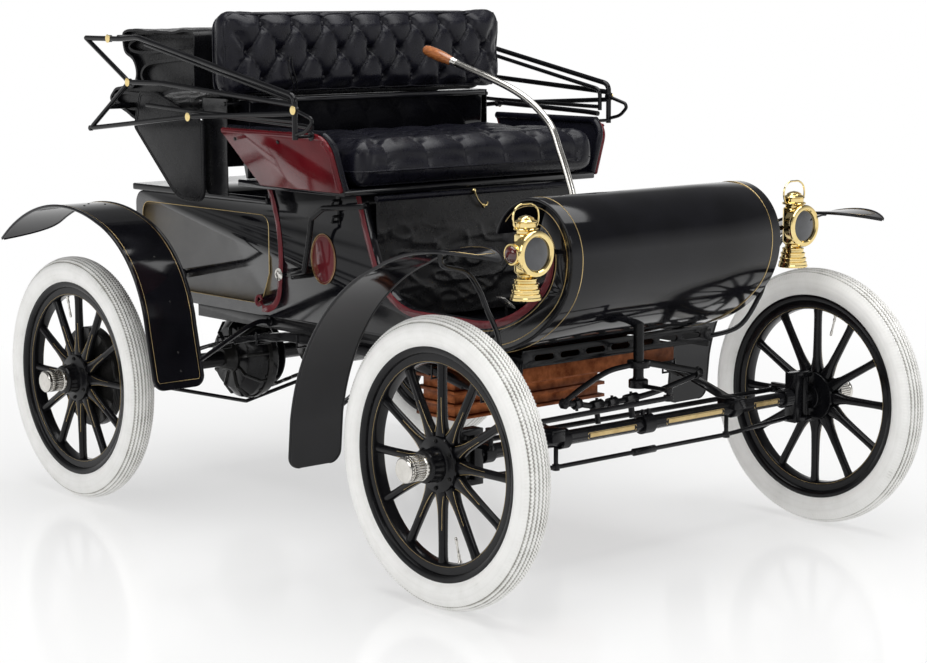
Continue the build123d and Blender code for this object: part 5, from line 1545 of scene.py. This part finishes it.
leaf = loft([flap_line(x, inset) for x, inset in FLAP_LEAF])
both_sides("top_flap_leaves", [leaf], TOP_HIDE, "top_leather", "top_flaps", angle=40.0)
piping = [tube(flap_line(0.5282, inset), 0.0012, 6, loop=True) for inset in (0.004, 0.013)]
both_sides("top_flap_piping", piping, TOP_HIDE, "top_leather")

# Axle trim: gilt panels, collars, clamps and the steering's cross bar
AXLE_TUBE = (-AXLE_Y, 0.372)
BAR_Y = -0.827
PANEL_FROM, PANEL_TO = 160, 205
PANELS = ((-0.223, -0.048), (0.067, 0.290), (0.414, 0.517))
COLLARS = ((0.003, 0.020), (-0.300, 0.014), (0.345, 0.014), (-0.560, 0.016), (0.560, 0.016))
CLAMPS = (
    (-0.236, 0.452, 0.012), (-0.165, 0.441, 0.018), (-0.110, 0.441, 0.016), (-0.040, 0.443, 0.022),
    (0.215, 0.481, 0.012),
)
CLAMP_BOLT = ((0.0, -0.018), (0.0045, -0.018), (0.0045, 0.018), (0.0, 0.018))
COLLAR_BOLT = ((0.0, -0.006), (0.006, -0.006), (0.006, 0.012), (0.0, 0.012))
POST_COLLAR = (
    (0.0165, 0.520), (0.030, 0.520), (0.031, 0.522), (0.031, 0.536), (0.030, 0.538), (0.0165, 0.538)
)
BALL = (
    (0.0, -0.013), (0.008, -0.013), (0.0135, -0.006), (0.0145, 0.0), (0.0135, 0.006), (0.008, 0.013),
    (0.0, 0.013),
)
BALL_ARM = (
    (-0.030, -0.815, 0.529), (-0.120, -0.820, 0.522), (-0.215, -0.826, 0.492), (-0.276, -0.830, 0.466)
)
CROSS_BAR = (
    (-0.270, -0.830, 0.457), (-0.235, -0.828, 0.452), (-0.170, -0.826, 0.440), (-0.060, -0.826, 0.441),
    (0.060, -0.826, 0.450), (0.215, -0.826, 0.478),
)


def on_axle(x, radius, degrees):
    """A point round the front axle's tube."""
    turn = math.radians(degrees)
    return x, AXLE_TUBE[0] + radius * math.cos(turn), AXLE_TUBE[1] + radius * math.sin(turn)


panels = []
band = [(0.01935, t) for t in np.linspace(166, 199, 9)] + [(0.0186, t) for t in np.linspace(199, 166, 9)]
for low, high in PANELS:
    ends = ((low, PANEL_TO), (high, PANEL_TO), (high, PANEL_FROM), (low, PANEL_FROM))
    edge = [on_axle(x, 0.0193, degrees) for x, degrees in ends]
    panels.append(tube(bent_route([*edge, *edge[:2]], 0.004)[1:-1], 0.0011, 6))
    panels.append(loft([
        [on_axle(x, radius, degrees) for radius, degrees in band]
        for x in np.linspace(low + 0.007, high - 0.007, 12)
    ]))
on_chassis("axle_gilt_panels", panels, GILT, "brass", angle=70.0)
hardware = []
for x, w in COLLARS:
    collar = (
        (0.0195, -w), (0.0255, -w), (0.0268, -w + 0.0015), (0.0268, w - 0.0015), (0.0255, w), (0.0195, w)
    )
    hardware.append(lathe(collar, (x, *AXLE_TUBE), ACROSS, 32, loop=True))
hardware += [lathe(COLLAR_BOLT, (x, -AXLE_Y - 0.002, 0.399), UP, 6) for x in (-0.008, 0.014)]
hardware += [
    lathe(POST_COLLAR, (POST.x, POST.y, 0), UP, 32, loop=True),
    tube(smooth_route(BALL_ARM, 8), 0.0075, 12),
    lathe(BALL, (-0.284, -0.830, 0.459), (0.2, 0, 1), 24),
    tube(smooth_route(CROSS_BAR, 8), 0.0078, 12),
    tube([(0.030, -0.815, 0.529), (0.215, -0.826, 0.486)], 0.0095, 12),
]
for x, z, w in CLAMPS:
    clamp = ((0.0, -w), (0.0125, -w), (0.014, -w + 0.002), (0.014, w - 0.002), (0.0125, w), (0.0, w))
    hardware.append(lathe(clamp, (x, BAR_Y, z), (1, 0, 0.06), 8))
    hardware.append(lathe(CLAMP_BOLT, (x, BAR_Y, z), UP, 6))
hardware.append(tube([(-0.165, BAR_Y, 0.430), (-0.165, -0.833, 0.392)], 0.0075, 10))
hardware.append(tube([(-0.040, BAR_Y, 0.432), (-0.040, -0.833, 0.392)], 0.0085, 10))
on_chassis("axle_collars_and_cross_bar", hardware, ENAMEL, "chassis_enamel")

# Crank fittings, the ovals' gilt edges and the bands' scrolled ends
CRANK_DISC = (
    (0.0, 0.0), (0.017, 0.0), (0.018, 0.001), (0.018, 0.003), (0.011, 0.0045), (0.008, 0.008), (0.0, 0.009)
)
CRANK_CLIP = ((-0.386, -0.036, 0), (-0.408, -0.036, 0), (-0.408, -0.028, -0.016), (-0.386, -0.028, -0.016))
OVAL_Y, OVAL_Z = 0.039, 0.764
SCROLL = ((0.336, 0.612), (0.352, 0.604), (0.362, 0.612), (0.358, 0.626), (0.344, 0.630), (0.334, 0.620))
on_chassis("crank_disc", [lathe(CRANK_DISC, (-0.3862, 0.250, 0.702), (-1, 0, 0), 28)], NICKEL, "nickel")
clips = []
for z in (0.934, 0.890):
    hoop = [(x, y, z + dz) for x, y, dz in CRANK_CLIP]
    clips.append(tube(bent_route(hoop, 0.004), 0.0042, 10))
clips.append(tube([(-0.3885, -0.032, z) for z in (0.945, 0.868)], 0.008, 4, 0.3, wide=ALONG))
on_chassis("crank_clips", clips, ENAMEL, "chassis_enamel")
oval_rings = []
for half_wide, half_high, thick in ((0.0553, 0.0708, 0.0008), (0.0505, 0.0655, 0.0004)):
    turns = [2 * math.pi * k / 64 for k in range(64)]
    ring = [(OVAL_Y + half_wide * math.cos(t), OVAL_Z + half_high * math.sin(t)) for t in turns]
    oval_rings.append(tube(on_side(ring, BODY_HALF + 0.0036), thick, 6, loop=True))
both_sides("oval_gilt_edges", oval_rings, GILT, "brass")
scroll = smooth_route(on_side(SCROLL, BODY_HALF + 0.003), 6)
band_end = tube(scroll, [0.0068 - 0.0001 * k for k in range(len(scroll))], 10)
both_sides("band_scrolls", [band_end], CHERRY, "burgundy_paint")

# A small nickel foot lever on the floor board
floor_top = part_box("floor_board")[1].z
PAD = ((-0.166, -0.450, 0.685), (-0.158, -0.450, 0.682), (-0.122, -0.450, 0.655), (-0.115, -0.450, 0.651))
LEVER_FOOT = ((0.0, -0.001), (0.013, -0.001), (0.013, 0.002), (0.009, 0.004), (0.0, 0.0045))
STEM_X, STEM_Y = -0.136, -0.447
stem = [(STEM_X, STEM_Y, z) for z in ((0.660 + floor_top) / 2, floor_top - 0.001)]
foot_lever = [
    tube(PAD, [0.010, 0.0165, 0.0165, 0.010], 16, 0.22, wide=ALONG),
    tube([(-0.139, -0.449, 0.666), *stem], 0.0048, 12),
    lathe(LEVER_FOOT, (STEM_X, STEM_Y, floor_top), UP, 20),
]
on_chassis("foot_lever", foot_lever, NICKEL, "nickel")

# Spring clips: hoops round the side springs, which sink towards their ends
SPRING_HOOP = ((0.3163, 0.006), (0.3163, -0.028), (0.3637, -0.028), (0.3637, 0.006))
clips = []
for y in (-0.60, -0.40, -0.20, 0.20, 0.40, 0.60):
    z = 0.520 - 0.105 * max(0.0, (abs(y) - 0.25) / 0.556) ** 1.6
    clips.append(tube([(x, y, z + dz) for x, dz in SPRING_HOOP], 0.0035, 8, wide=ALONG, loop=True))
both_sides("spring_clips", clips, ENAMEL, "chassis_enamel")

# The differential casing's joint flange, ribs and bolts
CASING = (-0.090, AXLE_Y, HUB_Z)
FLANGE = (
    (0.122, -0.008), (0.1340, -0.008), (0.1355, -0.0065), (0.1355, 0.0065), (0.1340, 0.008), (0.122, 0.008)
)
SLEEVE = (
    (0.024, -0.060), (0.048, -0.060), (0.048, -0.068), (0.040, -0.076), (0.033, -0.100), (0.024, -0.102)
)
FILLER = ((0.0, 0.0), (0.019, 0.0), (0.019, 0.010), (0.015, 0.013), (0.0, 0.013))
CASING_BOLT = ((0.0, 0.0), (0.0062, 0.0), (0.0062, 0.005), (0.0050, 0.0062), (0.0, 0.0065))
# A rib's x and its rise over the axle
RIB = ((-0.150, 0.040), (-0.1525, 0.094), (-0.1205, 0.1285), (-0.098, 0.1300))


def round_casing(name, part, count, angle):
    """A piece repeated round the casing's axis."""
    piece = new_piece(name, *part, IRON, angle)
    grow(piece, RING, Count=count, Centre=CASING, Axis=ACROSS, Finish=IRON)
    mount(piece, "chassis", "cast_iron")


flange = [
    lathe(FLANGE, CASING, ACROSS, 96, loop=True),
    lathe(SLEEVE, CASING, ACROSS, 48, loop=True),
    lathe(FILLER, (-0.138, AXLE_Y - 0.052, HUB_Z + 0.088), (-0.6, -0.3, 0.6), 6),
]
on_chassis("casing_flange", flange, IRON, "cast_iron", angle=30.0)
rib = tube([(x, AXLE_Y, HUB_Z + rise) for x, rise in RIB], [0.0060, 0.0060, 0.0056, 0.0046], 8)
round_casing("casing_ribs", rib, 9, 40.0)
stud = lathe(CASING_BOLT, (-0.098, AXLE_Y + 0.034, HUB_Z + 0.1245), (-1, 0, 0), 6)
round_casing("casing_bolts", stud, 14, 20.0)

# Seat curtain: one hanging sheet of leather round the back of the seat, in soft folds
CURTAIN_TOP, CURTAIN_LOW, CURTAIN_BACK_RISE = 1.2035, 0.927, 0.077
CURTAIN_HALF = 0.0016
CURTAIN_STEP = 0.008
CURTAIN_PLAN = ((-0.497, 0.344, 0), (-0.497, 0.496, 0), (0.497, 0.496, 0), (0.497, 0.344, 0))


def fold_wave(place, z):
    """Where the curtain's folds lie, about -1 to 1, hanging straight down."""
    wave = noise.noise(Vector((place.x * 9.0, place.y * 9.0, z * 1.6)))
    return wave + 0.45 * noise.noise(Vector((place.x * 26, place.y * 26, z * 5 + 4)))


hang = bent_route(CURTAIN_PLAN, 0.045, 10)
hang_path = []
for a, b in zip(hang, hang[1:]):
    steps = max(1, int((b - a).length / CURTAIN_STEP))
    hang_path += [a.lerp(b, k / steps) for k in range(steps)]
hang_path.append(hang[-1])
rings = []
for i, place in enumerate(hang_path):
    along = direction_at(hang_path, i)
    inward = Vector((along.y, -along.x, 0))
    ends = min(1, min(i, len(hang_path) - 1 - i) / 14)
    inner, outer = [], []
    # The lower edge rises towards the back wall, clear of the opened deck lid
    low = CURTAIN_LOW + CURTAIN_BACK_RISE * max(0.0, (place.y - 0.447) / 0.053)
    for z in np.linspace(CURTAIN_TOP, low, 34):
        depth = min(max(0.004 + 0.0105 * ends * (0.5 + fold_wave(place, z)), 0.0005), 0.018)
        for side, face in ((inner, CURTAIN_HALF), (outer, -CURTAIN_HALF)):
            point = place + inward * (depth + face)
            side.append((point.x, point.y, z))
    rings.append(inner + outer[::-1])
on_chassis("seat_curtain_folds", [loft(rings)], CURTAIN, "top_leather", "seat_curtain", angle=60.0)
rails = [tube([(x, 0.352, 1.1985), (x, 0.488, 1.1985)], 0.0042, 8) for x in (-0.486, 0.486)]
rails.append(tube([(-0.500, 0.350, 1.190), (0.500, 0.350, 1.190)], 0.0062, 12))
on_chassis("seat_back_rails", rails, IRON_BAR, "chassis_enamel", angle=60.0)

# A white studio floor
stage_mesh = bpy.data.meshes.new("studio_floor")
stage_mesh.from_pydata([(-60, -60, 0), (60, -60, 0), (60, 60, 0), (-60, 60, 0)], [], [(0, 1, 2, 3)])
floor = bpy.data.objects.new("studio_floor", stage_mesh)
bpy.context.scene.collection.objects.link(floor)
ground = Finish("studio_floor")
ground.set(Specular_IOR_Level=0.5)
ground.shader.inputs["Base Color"].default_value = (0.88, 0.88, 0.875, 1)
ground.roughen(ground.noise(1.4, 3.0), 0.10, 0.16)
# Beyond the floor's lit middle the floor is the backdrop's white
mix = ground.node("ShaderNodeMixShader")
reach = ground.node("ShaderNodeVectorMath", operation="LENGTH")
ground.link(ground.place, reach.inputs[0])
ground.link(ground.remap(reach.outputs["Value"], 0.48, 1.0, 1.3, 3.6), mix.inputs["Fac"])
ground.link(ground.shader.outputs["BSDF"], mix.inputs[1])
glow = ground.node("ShaderNodeEmission")
glow.inputs["Strength"].default_value = 1.0
ground.link(glow.outputs["Emission"], mix.inputs[2])
ground.link(mix.outputs["Shader"], ground.tree.nodes["Material Output"].inputs["Surface"])
floor.data.materials.append(ground.material)

# Soft light: a dim world that looks white to the camera and to gloss, and three large lamps
world = bpy.data.worlds.new("studio")
bpy.context.scene.world = world
world.use_nodes = True
sky = world.node_tree
backdrop = sky.nodes["Background"]
backdrop.inputs["Color"].default_value = (1, 1, 1, 1)
paths = sky.nodes.new("ShaderNodeLightPath")


def either(first, second):
    """The larger of two world values."""
    node = sky.nodes.new("ShaderNodeMath")
    node.operation = "MAXIMUM"
    sky.links.new(first, node.inputs[0])
    sky.links.new(second, node.inputs[1])
    return node.outputs["Value"]


def spread(value, low, high, start, end):
    """A world value that runs from start to end, mapped onto low to high."""
    node = sky.nodes.new("ShaderNodeMapRange")
    for socket, setting in (("From Min", start), ("From Max", end), ("To Min", low), ("To Max", high)):
        node.inputs[socket].default_value = setting
    sky.links.new(value, node.inputs["Value"])
    return node.outputs["Result"]


# Gloss sees a room that is white near the floor and dim overhead
direction = sky.nodes.new("ShaderNodeSeparateXYZ")
sky.links.new(sky.nodes.new("ShaderNodeNewGeometry").outputs["Position"], direction.inputs[0])
room = spread(direction.outputs["Z"], 1.0, 0.16, 0.02, 0.42)
glossy = sky.nodes.new("ShaderNodeMath")
glossy.operation = "MULTIPLY"
sky.links.new(paths.outputs["Is Glossy Ray"], glossy.inputs[0])
sky.links.new(room, glossy.inputs[1])
seen = either(paths.outputs["Is Camera Ray"], paths.outputs["Is Transmission Ray"])
diffuse = spread(paths.outputs["Is Diffuse Ray"], 0.0, 0.55, 0.0, 1.0)
level = either(either(seen, glossy.outputs["Value"]), diffuse)
sky.links.new(level, backdrop.inputs["Strength"])


def soft_light(name, place, target, size, power):
    """A large soft lamp that looks at target."""
    light = bpy.data.lights.new(name, "AREA")
    light.shape = "RECTANGLE"
    light.size, light.size_y = size
    light.energy = power
    obj = bpy.data.objects.new(name, light)
    bpy.context.scene.collection.objects.link(obj)
    obj.location = place
    obj.rotation_euler = (Vector(target) - Vector(place)).to_track_quat("-Z", "Y").to_euler()


soft_light("overhead", (0.0, -0.4, 4.4), (0, 0, 0.4), (4.5, 4.2), 190)
soft_light("beside", (-5.6, -1.2, 3.4), (0, 0, 0.6), (3.2, 2.2), 60)
soft_light("before", (1.2, -6.4, 4.2), (0, -0.3, 0.6), (3.0, 1.6), 60)

# Camera at the photograph's station
reach = math.cos(CAMERA_PITCH)
heading = Vector((math.sin(CAMERA_YAW) * reach, math.cos(CAMERA_YAW) * reach, -math.sin(CAMERA_PITCH)))
level_right = Vector((math.cos(CAMERA_YAW), -math.sin(CAMERA_YAW), 0))
level_up = level_right.cross(heading)
right = level_right * math.cos(CAMERA_ROLL) + level_up * math.sin(CAMERA_ROLL)
up = -level_right * math.sin(CAMERA_ROLL) + level_up * math.cos(CAMERA_ROLL)
lens = bpy.data.cameras.new("photograph")
lens.sensor_fit = "HORIZONTAL"
lens.sensor_width = SENSOR_WIDTH
lens.lens = CAMERA_FOCAL_PIXELS * SENSOR_WIDTH / PHOTO_WIDTH
camera = bpy.data.objects.new("photograph", lens)
bpy.context.scene.collection.objects.link(camera)
camera.matrix_world = Matrix((
    (right.x, up.x, -heading.x, CAMERA_PLACE[0]),
    (right.y, up.y, -heading.y, CAMERA_PLACE[1]),
    (right.z, up.z, -heading.z, CAMERA_PLACE[2]),
    (0, 0, 0, 1),
))
bpy.context.scene.camera = camera
bpy.context.scene.view_settings.view_transform = "Standard"
